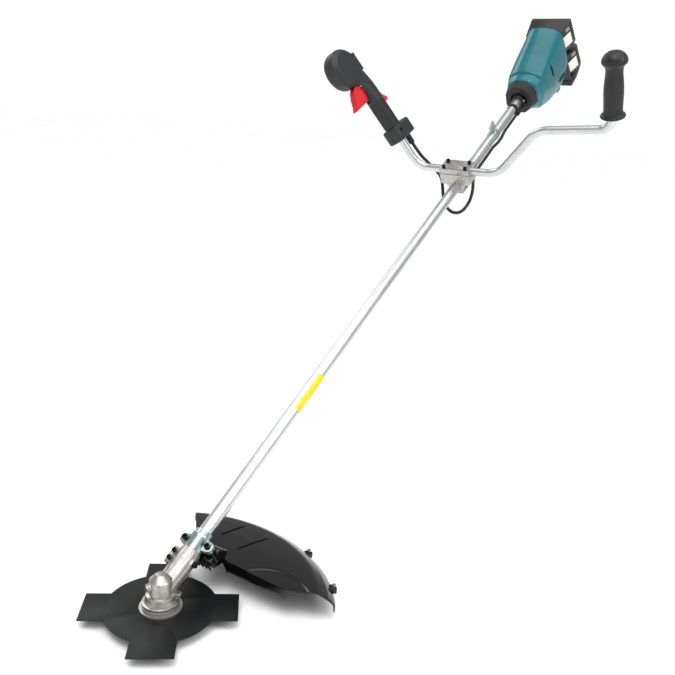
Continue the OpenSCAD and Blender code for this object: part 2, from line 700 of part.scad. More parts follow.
module button(z, r) translate([0, 0, z]) {
  rod_x(r, panel_x + 3.5, button_out);
  rod_x(r + 2, panel_x - 2.4, panel_x - 0.4);
  rod_x(3, panel_x - 2, panel_x + 4);
}
module power_button() color("#8d8f92") grip_frame() button(button_high, 5.2);
module reverse_button() color("#55575a") grip_frame() button(button_low, 5.2);

module cable_gland() color("#1a1a1b") grip_frame() translate([gland_x, 0, 0]) difference() {
  union() {
    translate([0, 0, gland_end]) cylinder(r1 = 6.6, r2 = 7.4, h = collar_from - gland_end + 1);
    translate([0, 0, collar_from - 0.5]) cylinder(r = gland_r, h = 6);
    for (z = [56, 62, 68]) translate([0, 0, z]) cylinder(r = 7.8, h = 3);
  }
  translate([0, 0, gland_end - 1]) cylinder(r = cable_r + 0.6, h = 40);
}
gland_end = 52;

// ---------- control cable ----------
cable_r = 3.8;
cable_sides = 10;
// Route in the pipe frame, distances along the pipe counted from the handle clamp
cable_route = [
  [34, 134, 88], [33, 128, 77], [32, 122, 67], [31, 115, 56], [30, 106, 43], [29, 94, 31], [27, 82, 20],
  [23, 69, 10], [17, 58, 2], [8, 50, -6], [-4, 44, -15], [-18, 38, -26], [-32, 30, -38], [-43, 18, -47],
  [-49, 3, -52], [-47, -11, -53], [-37, -20, -51], [-21, -25, -46], [-3, -26, -40],
  [16, -24, -31], [32, -20, -21], [45, -16, -13], [57, -14, -10], [70, -14, -10], [95, -14, -10],
  [135, -14, -10], [175, -14, -10], [200, -16, -12], [228, -16, -12], [255, -14, -10],
  [295, -14, -10], [330, -14, -10], [365, -14, -10], [400, -14, -10]];

function mix(a, b, c, d, t) = 0.5 * (2 * b + (c - a) * t + (2 * a - 5 * b + 4 * c - d) * t * t
  + (3 * b - a - 3 * c + d) * t * t * t);
function smooth(p, steps) = let (n = len(p)) concat(
  [for (i = [0:n - 2], k = [0:steps - 1])
    mix(p[max(i - 1, 0)], p[i], p[i + 1], p[min(i + 2, n - 1)], k / steps)], [p[n - 1]]);
function unit(v) = v / norm(v);
module sweep(p, r, sides) {
  n = len(p);
  dirs = [for (i = [0:n - 1]) unit(p[min(i + 1, n - 1)] - p[max(i - 1, 0)])];
  up = [0.2, 0.1, 1];
  points = [for (i = [0:n - 1]) let (u = unit(cross(dirs[i], up)), v = cross(dirs[i], u))
    each [for (k = [0:sides - 1]) p[i] + r * (u * cos(360 * k / sides) + v * sin(360 * k / sides))]];
  walls = [for (i = [0:n - 2], k = [0:sides - 1]) let (a = i * sides + k, b = i * sides + (k + 1) % sides)
    [a, b, b + sides, a + sides]];
  polyhedron(points, concat([[for (k = [sides - 1:-1:0]) k]], walls,
    [[for (k = [0:sides - 1]) (n - 1) * sides + k]]), convexity = 8);
}
module control_cable() color("#17181a") along(handle_at) sweep(smooth(cable_route, 2), cable_r, cable_sides);

// Bands that hold the cable to the pipe
clip_places = [64, 345];
module cable_clips() color("#1a1a1b") for (s = clip_places) along(handle_at + s) difference() {
  union() {
    ring_x(pipe_r + 1.6, pipe_r + touch, -5, 5);
    translate([0, -14, -10]) ring_x(cable_r + 2.8, cable_r + 1.2, -5, 5);
  }
  rod_x(pipe_r + touch, -10, 10);
  translate([0, -14, -10]) rod_x(cable_r + 1.2, -10, 10);
  translate([0, 0, pipe_r]) rod_x(0.5, -10, 10);
}

// ---------- motor unit ----------
nose_l = 74;
nose_from = 25;
nose_r1 = 37;
nose_r2 = 44;
case_skin = 10;
// Corners of the case as [along, half width, up], from the nose to the battery stack
case_corners = [
  [nose_l + 10, 27, 30], [nose_l + 10, 27, -30],
  [nose_l + 50, 44, 64], [nose_l + 50, 44, -50],
  [nose_l + 95, 43, 88], [nose_l + 118, 42, -64],
  [nose_l + 127, 34, 106], [nose_l + 210, 42, -60]];
dock_x = -pack_h / 2;
dock_t = 6;

module case_solid(skin) hull() for (c = case_corners, y = [-c[1], c[1]])
  translate([c[0], y, c[2]]) sphere(r = skin, $fn = 20);

// Screw posts, the cradles of the stator and the seats of the motor bearings
module case_inner() difference() {
  union() {
    for (p = motor_screw_places) translate([p[0], 0, p[1]]) rod_y(6, -80, 80);
    for (s = [stator_at + 4, stator_at + stator_l - 8]) span([s, -80, -80], [s + 4, 80, 90]);
    for (s = bearing_places) span([s, -80, -80], [s + motor_bearing_l, 80, 90]);
  }
  rod_x(stator_r + touch, stator_at, stator_at + stator_l);
  for (s = bearing_places) rod_x(motor_bearing_r + touch, s - 1, s + motor_bearing_l + 1);
  for (p = motor_screw_places) translate([p[0], 0, p[1]]) {
    rod_y(2 + touch, -90, 12);
    rod_y(4, -90, screw_seat);
  }
  span([board_from - 1, -90, board_h - touch], [board_from + board_l + 1, 90, board_h + 14]);
}
module case_body() difference() {
  along(nose_at) difference() {
    union() {
      difference() {
        case_solid(case_skin);
        case_solid(case_skin - case_wall);
      }
      intersection() {
        case_solid(case_skin - 1);
        case_inner();
      }
    }
    span([0, -80, -80], [nose_l, 80, 80]);
    rod_x(pipe_r + 14, nose_l - 5, nose_l + 13);
    for (z = [-24, -8, 8, 24], y = [-140, 40]) span([nose_l + 68, y, z - 2.5], [nose_l + 84, y + 100, z + 2.5]);
    for (p = motor_screw_places) translate([p[0], 0, p[1]]) rod_y(4, -90, screw_seat);
  }
  stack() span([dock_x - dock_t, -150, -260], [200, 150, 200]);
}
module case_half(side) difference() {
  case_body();
  along(nose_at) span([-50, side < 0 ? 0 : -200, -300], [500, side < 0 ? 200 : 0, 300]);
}
screw_seat = -20;
module motor_case_left() color("#0f8b95") case_half(1);
module motor_case_right() color("#0f8b95") case_half(-1);

module nose_cover() color("#2b2c2e") along(nose_at) difference() {
  translate([nose_from, 0, 0]) rotate([0, 90, 0]) rotate([0, 0, 22.5])
    cylinder(r1 = nose_r1 + 2, r2 = nose_r2 + 2, h = nose_l - nose_from, $fn = 8);
  translate([nose_from + 3, 0, 0]) rotate([0, 90, 0]) rotate([0, 0, 22.5])
    cylinder(r1 = nose_r1 - 1, r2 = nose_r2 - 1, h = nose_l - nose_from, $fn = 8);
  rod_x(pipe_r + touch, nose_from - 10, nose_from + 10);
  translate([0, -14, -10]) rod_x(cable_r + 0.4, nose_from - 10, nose_from + 10);
}

stator_at = nose_l + 30;
shaft_reach = 3.7;      // how far the drive shaft reaches behind the nose
motor_bearing_r = 13;
motor_bearing_l = 7;
bearing_places = [nose_l + 16, stator_at + stator_l + 22];
module motor_stator() color("#8a5a2b") along(nose_at) {
  ring_x(stator_r, stator_r - 11, stator_at, stator_at + stator_l);
}
module motor_rotor() color("#777777") along(nose_at) {
  rod_x(stator_r - 12, stator_at - 1, stator_at + stator_l + 1);
  rod_x(4, nose_l + shaft_reach + 0.3, stator_at + stator_l + 34);
}
module shaft_coupling() color("silver") along(nose_at) difference() {
  rod_x(8.5, nose_l - 8, nose_l + 14);
  rod_x(shaft_r + touch, nose_l - 9, nose_l + shaft_reach + 0.1);
  rod_x(4 + touch, nose_l + shaft_reach + 0.1, nose_l + 16);
}
module cooling_fan() color("#e4e2da") along(nose_at) translate([stator_at + stator_l + 4, 0, 0]) difference() {
  union() {
    rod_x(9, 0, 12);
    rod_x(26, 0, 1.6);
    for (a = [0:40:320]) rotate([a, 0, 0]) span([1, -0.8, 8], [11, 0.8, 26]);
  }
  rod_x(4 + touch, -1, 20);
}
module motor_bearings() color("silver") along(nose_at) for (s = bearing_places)
  translate([s, 0, 0]) rotate([0, 90, 0]) bearing(motor_bearing_r, 4 + run, motor_bearing_l);
board_from = nose_l + 58;
board_l = 48;
board_h = 52;
module controller() color("#1f5f3a") along(nose_at) {
  span([board_from, -50, board_h], [board_from + board_l, 50, board_h + 3]);
  for (y = [-30, 0, 30]) span([board_from + 8, y - 8, board_h + 3], [board_from + 26, y + 8, board_h + 12]);
}
motor_screw_places = [[nose_l + 30, 38], [nose_l + 30, -36], [nose_l + 108, -50], [nose_l + 118, 84]];
module motor_case_screws() color("dimgray") along(nose_at) for (p = motor_screw_places)
  translate([p[0], screw_seat - touch, p[1]]) rotate([90, 0, 0]) cap_screw(2, 30, 3.6, 3);

// ---------- batteries ----------
rail_half = 27;
rail_h = 7;
rail_lip = 4;
pack_r = 9;
dock_half_y = 46;
rail_from = -pack_l / 2 + 26;
module battery_dock() color("#1d1e20") stack() {
  difference() {
    span([dock_x - dock_t, -dock_half_y, -pack_pitch - pack_w / 2 + 4], [dock_x - 1, dock_half_y, pack_w / 2 + 14]);
    for (z = [0, -pack_pitch]) span([dock_x - 20, 4, z - 16], [dock_x + 20, 24, z + 16]);
  }
  for (z = [0, -pack_pitch], side = [-1, 1]) {
    translate([0, 0, z + side * rail_half]) span([dock_x - 1.2, rail_from, -1.5], [dock_x + rail_h, dock_half_y, 1.5]);
    translate([0, 0, z + side * (rail_half - rail_lip / 2 + 1.5)])
      span([dock_x + rail_h - 2.5, rail_from, -rail_lip / 2 - 1], [dock_x + rail_h, dock_half_y, rail_lip / 2 - 1]);
  }
}
module dock_terminals() color("#b8a060") stack() for (z = [0, -pack_pitch]) {
  span([dock_x - dock_t, 4 + touch, z - 16 + touch], [dock_x - 1, 24 - touch, z + 16 - touch]);
  for (dz = [-11, 11]) span([dock_x - 1.2, 6, z + dz - 0.5], [dock_x + 6, 22, z + dz + 0.5]);
}

// Plan outline of a pack seen along the stack: X away from the rails, Y along it
module pack_plan() polygon([[dock_x, pack_l / 2 - 4], [dock_x + 4, pack_l / 2], [pack_h / 2 - 6, pack_l / 2],
  [pack_h / 2, pack_l / 2 - 6], [pack_h / 2, -pack_l / 2 + 5], [pack_h / 2 - 5, -pack_l / 2],
  [pack_h / 2 - 18, -pack_l / 2], [dock_x + 10, -pack_l / 2 + 20], [dock_x, -pack_l / 2 + 20]]);
module rounded_slab(h, w, r) {
  span([-h / 2, -200, -w / 2], [h / 2 - r, 200, w / 2]);
  span([-h / 2, -200, -w / 2 + r], [h / 2, 200, w / 2 - r]);
  for (side = [-1, 1]) translate([h / 2 - r, 0, side * (w / 2 - r)]) rod_y(r, -200, 200);
}
module battery_pack() difference() {
  intersection() {
    translate([0, 0, -pack_w]) linear_extrude(2 * pack_w) pack_plan();
    rounded_slab(pack_h, pack_w, pack_r);
  }
  // rail slots run out at the far end
  for (side = [-1, 1]) translate([0, 0, side * rail_half]) {
    span([dock_x - 1, rail_from - loose, -1.5 - loose], [dock_x + rail_h + loose, 200, 1.5 + loose]);
    translate([0, 0, side * (-rail_lip / 2 + 1.5)])
      span([dock_x + rail_h - 2.5 - loose, rail_from - loose, -rail_lip / 2 - 1.5 - loose],
           [dock_x + rail_h + loose, 200, rail_lip / 2 + 1.5 + loose]);
  }
  for (dz = [-11, 11]) span([dock_x - 1, -2, dz - 1], [dock_x + 7, 200, dz + 1]);
  translate([0, 0, latch_z]) linear_extrude(2 * (latch_half + loose), center = true)
    latch_plan(loose, latch_travel + 1);
}

// A release button in the slanted end of the pack, pressed along the pack
latch_half = 6;
latch_z = 29;
latch_travel = 3;
latch_out = 2.4;
latch_x = [-3, 8];
function end_face(x) = -pack_l / 2 + 20 * (pack_h / 2 - 18 - x) / (pack_h - 28);
module latch_plan(gap, deeper) polygon([
  [latch_x[0] - gap, end_face(latch_x[0]) - latch_out - (gap > 0 ? 20 : 0)],
  [latch_x[1] + gap, end_face(latch_x[1]) - latch_out - (gap > 0 ? 20 : 0)],
  [latch_x[1] + gap, end_face(latch_x[0]) + 6 + deeper],
  [latch_x[0] - gap, end_face(latch_x[0]) + 6 + deeper]]);
module latch_button() translate([0, 0, latch_z]) linear_extrude(2 * latch_half, center = true) latch_plan(0, 0);

module battery_upper() color("#1a1a1b") stack() battery_pack();
module battery_lower() color("#1a1a1b") stack() translate([0, 0, -pack_pitch]) battery_pack();
module upper_latch_button() color("#b3262b") stack() latch_button();
module lower_latch_button() color("#b3262b") stack() translate([0, 0, -pack_pitch]) latch_button();

bumper_half = 46;
module rear_bumper() color("#1b1c1d") stack() translate([0, bumper_half, 0]) rotate([90, 0, 0])
  linear_extrude(2 * bumper_half) polygon([
    [dock_x - dock_t - 1, -pack_pitch - pack_w / 2 + 3.5], [dock_x - 1, -pack_pitch - pack_w / 2 + 3.5],
    [dock_x - 1, -pack_pitch - pack_w / 2 - 1], [pack_h / 2 + 2, -pack_pitch - pack_w / 2 - 1],
    [pack_h / 2 + 16, -pack_pitch - pack_w / 2 - 18], [pack_h / 2 + 12, -pack_pitch - pack_w / 2 - 28],
    [pack_h / 2 - 30, -pack_pitch - pack_w / 2 - 30], [dock_x - 12, -pack_pitch - pack_w / 2 - 14]]);

blade();
receive_washer();
clamp_washer();
blade_cup();
blade_nut();
output_spindle();
driven_gear();
pinion_gear();
gear_bearings();
gear_case();
gear_case_screws();
guard_bracket();
guard_clamp();
guard_bolts();
guard();
guard_screws();
main_pipe();
drive_shaft();
shaft_bushes();
harness_eye();
harness_band();
harness_bolt();
handle_holder();
handle_clamp();
handle_bolts();
handle_bar();
left_grip();
switch_case_inner();
switch_case_outer();
switch_screws();
trigger();
trigger_pin();
trigger_spring();
lock_lever();
lock_pin();
trigger_switch();
control_panel();
power_button();
reverse_button();
cable_gland();
control_cable();
cable_clips();
nose_cover();
motor_case_left();
motor_case_right();
motor_case_screws();
motor_stator();
motor_rotor();
cooling_fan();
shaft_coupling();
motor_bearings();
controller();
battery_dock();
dock_terminals();
battery_upper();
battery_lower();
upper_latch_button();
lower_latch_button();
rear_bumper();
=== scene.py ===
"""Visual model of a battery brush cutter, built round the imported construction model.

The row frame is in metres. Shapes are drawn in millimetres in local axes of the machine
(blade, pipe, handle, grip and battery stack) and then placed in the row frame.
"""

import json
import logging
import math
from collections.abc import Iterable, Sequence
from dataclasses import dataclass, field
from enum import Enum

import bmesh
import bpy
from mathutils import Matrix, Vector


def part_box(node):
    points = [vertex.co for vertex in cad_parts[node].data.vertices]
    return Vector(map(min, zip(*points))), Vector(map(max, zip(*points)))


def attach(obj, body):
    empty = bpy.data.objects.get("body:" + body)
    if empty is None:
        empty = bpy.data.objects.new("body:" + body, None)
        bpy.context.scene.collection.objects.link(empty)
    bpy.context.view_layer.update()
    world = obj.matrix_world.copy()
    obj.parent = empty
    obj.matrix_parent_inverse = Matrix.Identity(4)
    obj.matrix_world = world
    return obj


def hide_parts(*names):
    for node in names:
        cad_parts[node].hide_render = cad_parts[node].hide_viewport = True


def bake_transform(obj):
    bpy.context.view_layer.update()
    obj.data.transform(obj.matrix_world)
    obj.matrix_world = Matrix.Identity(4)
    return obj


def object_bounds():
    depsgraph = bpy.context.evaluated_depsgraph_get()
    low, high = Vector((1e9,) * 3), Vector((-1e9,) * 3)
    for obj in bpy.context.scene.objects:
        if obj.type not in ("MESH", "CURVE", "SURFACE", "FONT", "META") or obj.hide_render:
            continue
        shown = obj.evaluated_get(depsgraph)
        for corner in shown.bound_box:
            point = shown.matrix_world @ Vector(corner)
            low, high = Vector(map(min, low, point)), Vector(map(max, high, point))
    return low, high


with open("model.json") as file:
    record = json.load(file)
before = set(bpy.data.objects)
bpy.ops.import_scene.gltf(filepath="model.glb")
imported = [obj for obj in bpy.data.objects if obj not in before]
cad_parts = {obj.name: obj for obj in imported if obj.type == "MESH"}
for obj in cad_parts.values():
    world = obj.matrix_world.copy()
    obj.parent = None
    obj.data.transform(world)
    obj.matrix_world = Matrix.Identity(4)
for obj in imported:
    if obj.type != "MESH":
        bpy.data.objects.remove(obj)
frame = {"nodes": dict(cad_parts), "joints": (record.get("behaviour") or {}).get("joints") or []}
CAD_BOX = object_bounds()
LOG = logging.getLogger("brush_cutter")
MM = 0.001
Point = tuple[float, float, float]
Flat = tuple[float, float]
Socket = bpy.types.NodeSocket
# Turns an extrusion along Z into one along -Y, so that its outline reads across and up
ACROSS = Matrix(((1, 0, 0), (0, 0, -1), (0, 1, 0))).to_4x4()
# Turns a piece on Z into one along X, and one along -Y
ALONG_X = Matrix.Rotation(math.radians(90), 4, "Y")
TO_SIDE = Matrix.Rotation(math.radians(90), 4, "X")


# ---------------------------------------------------------------- axes


@dataclass(frozen=True)
class Axes:
    """A local right-handed frame of the machine, placed in the row frame."""

    origin: Vector
    x: Vector
    y: Vector
    z: Vector

    def matrix(self) -> Matrix:
        """Returns the transform from local millimetres to row metres."""
        turn = Matrix((self.x, self.y, self.z)).transposed() * MM
        return Matrix.Translation(self.origin) @ turn.to_4x4()

    def at(self, x: float, y: float, z: float) -> Vector:
        """Returns the row point, in metres, of a local point in millimetres."""
        return self.matrix() @ Vector((x, y, z))

    def moved(self, x: float, y: float, z: float) -> "Axes":
        """Returns the same axes with the origin moved by local millimetres."""
        return Axes(self.at(x, y, z), self.x, self.y, self.z)

    def turned(self, turn: Matrix) -> "Axes":
        """Returns axes turned by a rotation given in the local frame.

        Args:
            turn: A 3x3 rotation.

        Returns:
            The turned axes with the same origin.
        """
        basis = Matrix((self.x, self.y, self.z)).transposed() @ turn
        return Axes(self.origin, basis.col[0].copy(), basis.col[1].copy(), basis.col[2].copy())

    def reach(self, node: str) -> tuple[Vector, Vector]:
        """Measures a construction node along these axes.

        Args:
            node: The node's name.

        Returns:
            Its lowest and highest corner in local millimetres.
        """
        back = self.matrix().inverted()
        points = [back @ v.co for v in frame["nodes"][node].data.vertices]
        low = Vector([min(p[i] for p in points) for i in range(3)])
        high = Vector([max(p[i] for p in points) for i in range(3)])
        return low, high


def joint(name: str) -> dict:
    """Returns the record's joint of that name."""
    return next(j for j in frame["joints"] if j["name"] == name)


def machine_axes() -> dict[str, Axes]:
    """Works out the machine's local frames from the record's joints and nodes.

    Returns:
        The axes by name: blade, pipe, handle, grip and stack. The pipe's origin is the
        point of its axis under the handle bar.
    """
    side = Vector((0, 1, 0))
    blade = Axes(Vector(joint("blade_spin")["pos_m"]), Vector((1, 0, 0)), side, Vector((0, 0, 1)))
    along = Vector(joint("shaft_spin")["axis"]).normalized()
    up = along.cross(side)
    on_shaft = Vector(joint("shaft_spin")["pos_m"])
    bar = Vector(joint("handle_tilt")["pos_m"])
    pipe = Axes(on_shaft + along * (bar - on_shaft).dot(along), along, side, up)
    grip_x = -Vector(joint("power_button_press")["axis"]).normalized()
    grip_y = -Vector(joint("trigger_pull")["axis"]).normalized()
    grip_z = grip_x.cross(grip_y)
    pivot = Axes(Vector(joint("trigger_pull")["pos_m"]), grip_x, grip_y, grip_z)
    grip = pivot.moved(31, 0, -235)
    bar_z = Vector((0, 0, 1)) * grip_z.z + Vector((1, 0, 0)) * grip_z.x
    handle = Axes(bar, side.cross(bar_z.normalized()), side, bar_z.normalized())
    upper, lower = (sum(map(Vector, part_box(n)), Vector()) / 2 for n in ("battery_upper", "battery_lower"))
    stack_z = (upper - lower).normalized()
    stack = Axes(upper, side.cross(stack_z), side, stack_z)
    low, high = stack.reach("battery_upper")
    stack = stack.moved(*((low + high) / 2))
    return {"blade": blade, "pipe": pipe, "handle": handle, "grip": grip, "stack": stack}


# ---------------------------------------------------------------- finishes


def linear(hex_colour: str) -> tuple[float, float, float, float]:
    """Turns an sRGB hex colour into linear light.

    Args:
        hex_colour: A colour such as "#0f8b95".

    Returns:
        Red, green, blue and an alpha of 1.
    """
    parts = [int(hex_colour[i : i + 2], 16) / 255 for i in (1, 3, 5)]
    lin = [c / 12.92 if c <= 0.04045 else ((c + 0.055) / 1.055) ** 2.4 for c in parts]
    return (*lin, 1.0)


def add_node(
    tree: bpy.types.NodeTree, kind: str, settings: dict | None = None, links: dict | None = None
) -> bpy.types.Node:
    """Adds one node with its settings and links.

    Args:
        tree: The node tree.
        kind: The node's type name.
        settings: Attribute names or input names with their values.
        links: Input names with the output sockets that feed them.

    Returns:
        The new node.
    """
    node = tree.nodes.new(kind)
    for key, value in (settings or {}).items():
        if isinstance(key, str) and key in node.bl_rna.properties:
            setattr(node, key, value)
        else:
            node.inputs[key].default_value = value
    for key, socket in (links or {}).items():
        tree.links.new(socket, node.inputs[key])
    return node


class Grain(Enum):
    """How a finish's fine surface runs."""

    EVEN = "even"
    BRUSHED = "brushed"
    CAST = "cast"


@dataclass(frozen=True)
class Finish:
    """A surface finish with its colours, gloss and relief.

    Sizes are in millimetres. Patterns read Object coordinates, which are row metres.
    """

    name: str
    colour: str
    shade: str
    metallic: float = 0.0
    roughness: float = 0.5
    spread: float = 0.08
    patch_mm: float = 30.0
    grain_mm: float = 0.8
    relief_mm: float = 0.03
    grain: Grain = Grain.EVEN
    coat: float = 0.0
    sheen: float = 0.0
    tilt: float = 0.0
    specular: float = 0.5

    def build(self) -> bpy.types.Material:
        """Builds the node material.

        Returns:
            The material, made once for each name.
        """
        found = bpy.data.materials.get(self.name)
        if found:
            return found
        material = bpy.data.materials.new(self.name)
        material.use_nodes = True
        tree = material.node_tree
        tree.nodes.clear()
        coords = add_node(tree, "ShaderNodeTexCoord").outputs["Object"]
        stretch = 40.0 if self.grain is Grain.BRUSHED else 1.0
        mapped = add_node(
            tree,
            "ShaderNodeMapping",
            {"vector_type": "TEXTURE", "Rotation": (0, self.tilt, 0), "Scale": (stretch, 1, 1)},
            {"Vector": coords},
        ).outputs["Vector"]
        patches = self._noise(tree, coords, self.patch_mm, 4.0, 0.6)
        fine = self._noise(tree, mapped, self.grain_mm, 3.0, 0.55)
        mixed = add_node(
            tree,
            "ShaderNodeMix",
            {"data_type": "RGBA", 6: linear(self.colour), 7: linear(self.shade)},
            {0: self._ramp(tree, patches, 0.35, 0.7)},
        ).outputs[2]
        lowest, highest = self.roughness - self.spread, self.roughness + self.spread
        rough = add_node(
            tree,
            "ShaderNodeMapRange",
            {"From Min": 0.3, "From Max": 0.7, "To Min": max(lowest, 0.03), "To Max": highest},
            {"Value": self._roughness_source(fine, patches)},
        ).outputs["Result"]
        bump = add_node(
            tree,
            "ShaderNodeBump",
            {"Strength": 0.6, "Distance": self.relief_mm * MM},
            {"Height": self._height(tree, fine, coords)},
        ).outputs["Normal"]
        shader = add_node(
            tree,
            "ShaderNodeBsdfPrincipled",
            {"Metallic": self.metallic, "Specular IOR Level": self.specular,
             "Coat Weight": self.coat, "Coat Roughness": 0.12, "Sheen Weight": self.sheen},
            {"Base Color": mixed, "Roughness": rough, "Normal": bump},
        )
        add_node(tree, "ShaderNodeOutputMaterial", links={"Surface": shader.outputs["BSDF"]})
        return material

    @staticmethod
    def _noise(tree: bpy.types.NodeTree, place: Socket, size_mm: float, detail: float, rough: float) -> Socket:
        """Adds a noise with patches of about a size in millimetres and returns its socket."""
        look = {"Scale": 1 / (size_mm * MM), "Detail": detail, "Roughness": rough}
        return add_node(tree, "ShaderNodeTexNoise", look, {"Vector": place}).outputs["Fac"]

    @staticmethod
    def _ramp(tree: bpy.types.NodeTree, value: Socket, low: float, high: float) -> Socket:
        """Spreads the middle of a noise to the whole range and returns the socket."""
        limits = {"From Min": low, "From Max": high}
        return add_node(tree, "ShaderNodeMapRange", limits, {"Value": value}).outputs["Result"]

    def _roughness_source(self, fine: Socket, patches: Socket) -> Socket:
        """Returns the noise that the gloss follows: the brushing, or the patches."""
        return fine if self.grain is Grain.BRUSHED else patches

    def _height(self, tree: bpy.types.NodeTree, fine: Socket, coords: Socket) -> Socket:
        """Returns the relief: plain grain, or grain with the soft dimples of a casting."""
        if self.grain is not Grain.CAST:
            return fine
        dimples = add_node(
            tree, "ShaderNodeTexVoronoi", {"Scale": 1 / (2.2 * self.grain_mm * MM)}, {"Vector": coords}
        ).outputs["Distance"]
        return add_node(tree, "ShaderNodeMath", {"operation": "ADD"}, {0: fine, 1: dimples}).outputs[0]


# The rise of the pipe turns the brushing of the tube along its length
PIPE_TILT = -math.radians(31.7)
# Anodised tube: long fine drawing marks, pale and soft in its highlight
TUBE = Finish("drawn_anodised_aluminium", "#d9dadb", "#c9cacc", 1.0, 0.34, 0.07, 60, 0.5, 0.02, Grain.BRUSHED,
              tilt=PIPE_TILT)
# The bar is smoother than the pipe: a clean satin highlight along its bends
BAR = Finish("satin_anodised_bar", "#cfd1d3", "#bfc1c4", 1.0, 0.33, 0.06, 50, 0.45, 0.02)
# Die-cast aluminium under a warm silver lacquer
CASTING = Finish("lacquered_die_casting", "#b9b7b2", "#a3a19b", 0.92, 0.34, 0.07, 9, 0.9, 0.04, Grain.CAST, 0.1)
# Zinc plating: cool blue-green silver with bright edges
ZINC = Finish("blue_zinc_plate", "#b4c2c4", "#9db0b3", 0.95, 0.28, 0.06, 12, 0.7, 0.01)
# Ground steel of the seats and shafts: neutral and fairly bright
STEEL = Finish("ground_steel", "#a8a8a6", "#8f8f8d", 1.0, 0.3, 0.08, 10, 0.3, 0.02)
# Blackened screws: dark metal that still glints
BLACK_OXIDE = Finish("black_oxide_steel", "#232326", "#17171a", 0.85, 0.38, 0.08, 4, 0.4, 0.02)
# Baked coating over sheet steel: nearly black, wide soft highlight
BLADE_COAT = Finish("baked_blade_coating", "#0e0f10", "#131415", 0.0, 0.42, 0.08, 45, 0.6, 0.02, specular=0.28)
# Polished mould surface: near black, with long sharp reflections
GLOSS_GUARD = Finish("polished_moulded_guard", "#070708", "#0b0b0c", 0.0, 0.16, 0.05, 40, 1.2, 0.01, specular=0.42)
# Fine spark-eroded mould texture: deep teal with a soft but clear highlight
TEAL = Finish("spark_eroded_teal_nylon", "#006873", "#005c66", 0.0, 0.24, 0.05, 40, 0.7, 0.015, specular=0.45)
# Grained dark nylon of the nose, dock and bumper: matt, wide dull highlight
CHARCOAL = Finish("grained_charcoal_nylon", "#1c1c1e", "#161618", 0.0, 0.5, 0.06, 20, 0.7, 0.03, specular=0.35)
# The same nylon, a shade paler, a little smoother in its gloss
GRIP_SHELL = Finish("grained_grip_nylon", "#262728", "#202122", 0.0, 0.5, 0.06, 22, 0.7, 0.03, specular=0.4)
# Soft moulded rubber: matt black with a faint bloom
RUBBER = Finish("moulded_grip_rubber", "#151516", "#101011", 0.0, 0.48, 0.08, 14, 0.9, 0.04,
                sheen=0.05, specular=0.4)
# Moulded acetal: saturated red, slightly waxy shine
RED = Finish("moulded_red_acetal", "#cf1626", "#bb1020", 0.0, 0.3, 0.06, 9, 0.8, 0.02, coat=0.2)
# Mid-grey keys that stand out from the dark shells
GREY_KEY = Finish("moulded_grey_key", "#8d8f92", "#7e8083", 0.0, 0.45, 0.06, 5, 0.5, 0.03)
# Battery cases: smoother and blacker than the nylon parts
PACK = Finish("pack_black_abs", "#0c0c0d", "#111112", 0.0, 0.34, 0.08, 14, 0.8, 0.02, specular=0.4)
# Cable jacket: black with a narrow line of light along it
JACKET = Finish("cable_jacket_pvc", "#0e0e0f", "#131314", 0.0, 0.42, 0.08, 10, 1.0, 0.02, specular=0.35)
# Bare off-white label film, flat and slightly warm
LABEL = Finish("bare_label_film", "#efece4", "#e4e0d6", 0.0, 0.4, 0.05, 8, 1.5, 0.01)
# Bare yellow vinyl: even colour with a light gloss
YELLOW = Finish("yellow_vinyl_strip", "#f0cf1d", "#e4c113", 0.0, 0.35, 0.05, 25, 1.5, 0.01)
# Enamelled wire: warm brown copper
COPPER = Finish("enamelled_winding", "#9c5a2c", "#7f451f", 0.8, 0.4, 0.1, 6, 0.8, 0.1)
# Potted circuit board: dull green
BOARD = Finish("circuit_board_resin", "#1d5b38", "#164a2d", 0.0, 0.4, 0.08, 8, 1.0, 0.03)
# Plated contacts: pale brass
BRASS = Finish("plated_contact_brass", "#c1a252", "#a98c40", 1.0, 0.3, 0.08, 6, 0.5, 0.02)
# Plain dark polymer of the parts inside
INNER = Finish("plain_inner_polymer", "#2a2a2a", "#232323", 0.0, 0.55, 0.06, 12, 0.8, 0.03)


# ---------------------------------------------------------------- mesh making


def close_mesh(bm: bmesh.types.BMesh) -> bmesh.types.BMesh:
    """Merges doubled points, turns faces outwards and returns the same mesh."""
    bmesh.ops.remove_doubles(bm, verts=bm.verts, dist=1e-4)
    bmesh.ops.recalc_face_normals(bm, faces=bm.faces)
    return bm


def prism(outline: Sequence[Flat], low: float, high: float) -> bmesh.types.BMesh:
    """Extrudes a flat outline along local Z.

    Args:
        outline: Corners in local X and Y.
        low: The lower end.
        high: The upper end.

    Returns:
        A closed mesh.
    """
    bm = bmesh.new()
    rings = [[bm.verts.new((x, y, z)) for x, y in outline] for z in (low, high)]
    for ring in rings:
        bm.faces.new(ring)
    count = len(outline)
    for i in range(count):
        j = (i + 1) % count
        bm.faces.new((rings[0][i], rings[0][j], rings[1][j], rings[1][i]))
    return close_mesh(bm)


def block(low: Point, high: Point) -> bmesh.types.BMesh:
    """Returns a box from one corner to the other."""
    outline = [(low[0], low[1]), (high[0], low[1]), (high[0], high[1]), (low[0], high[1])]
    return prism(outline, low[2], high[2])


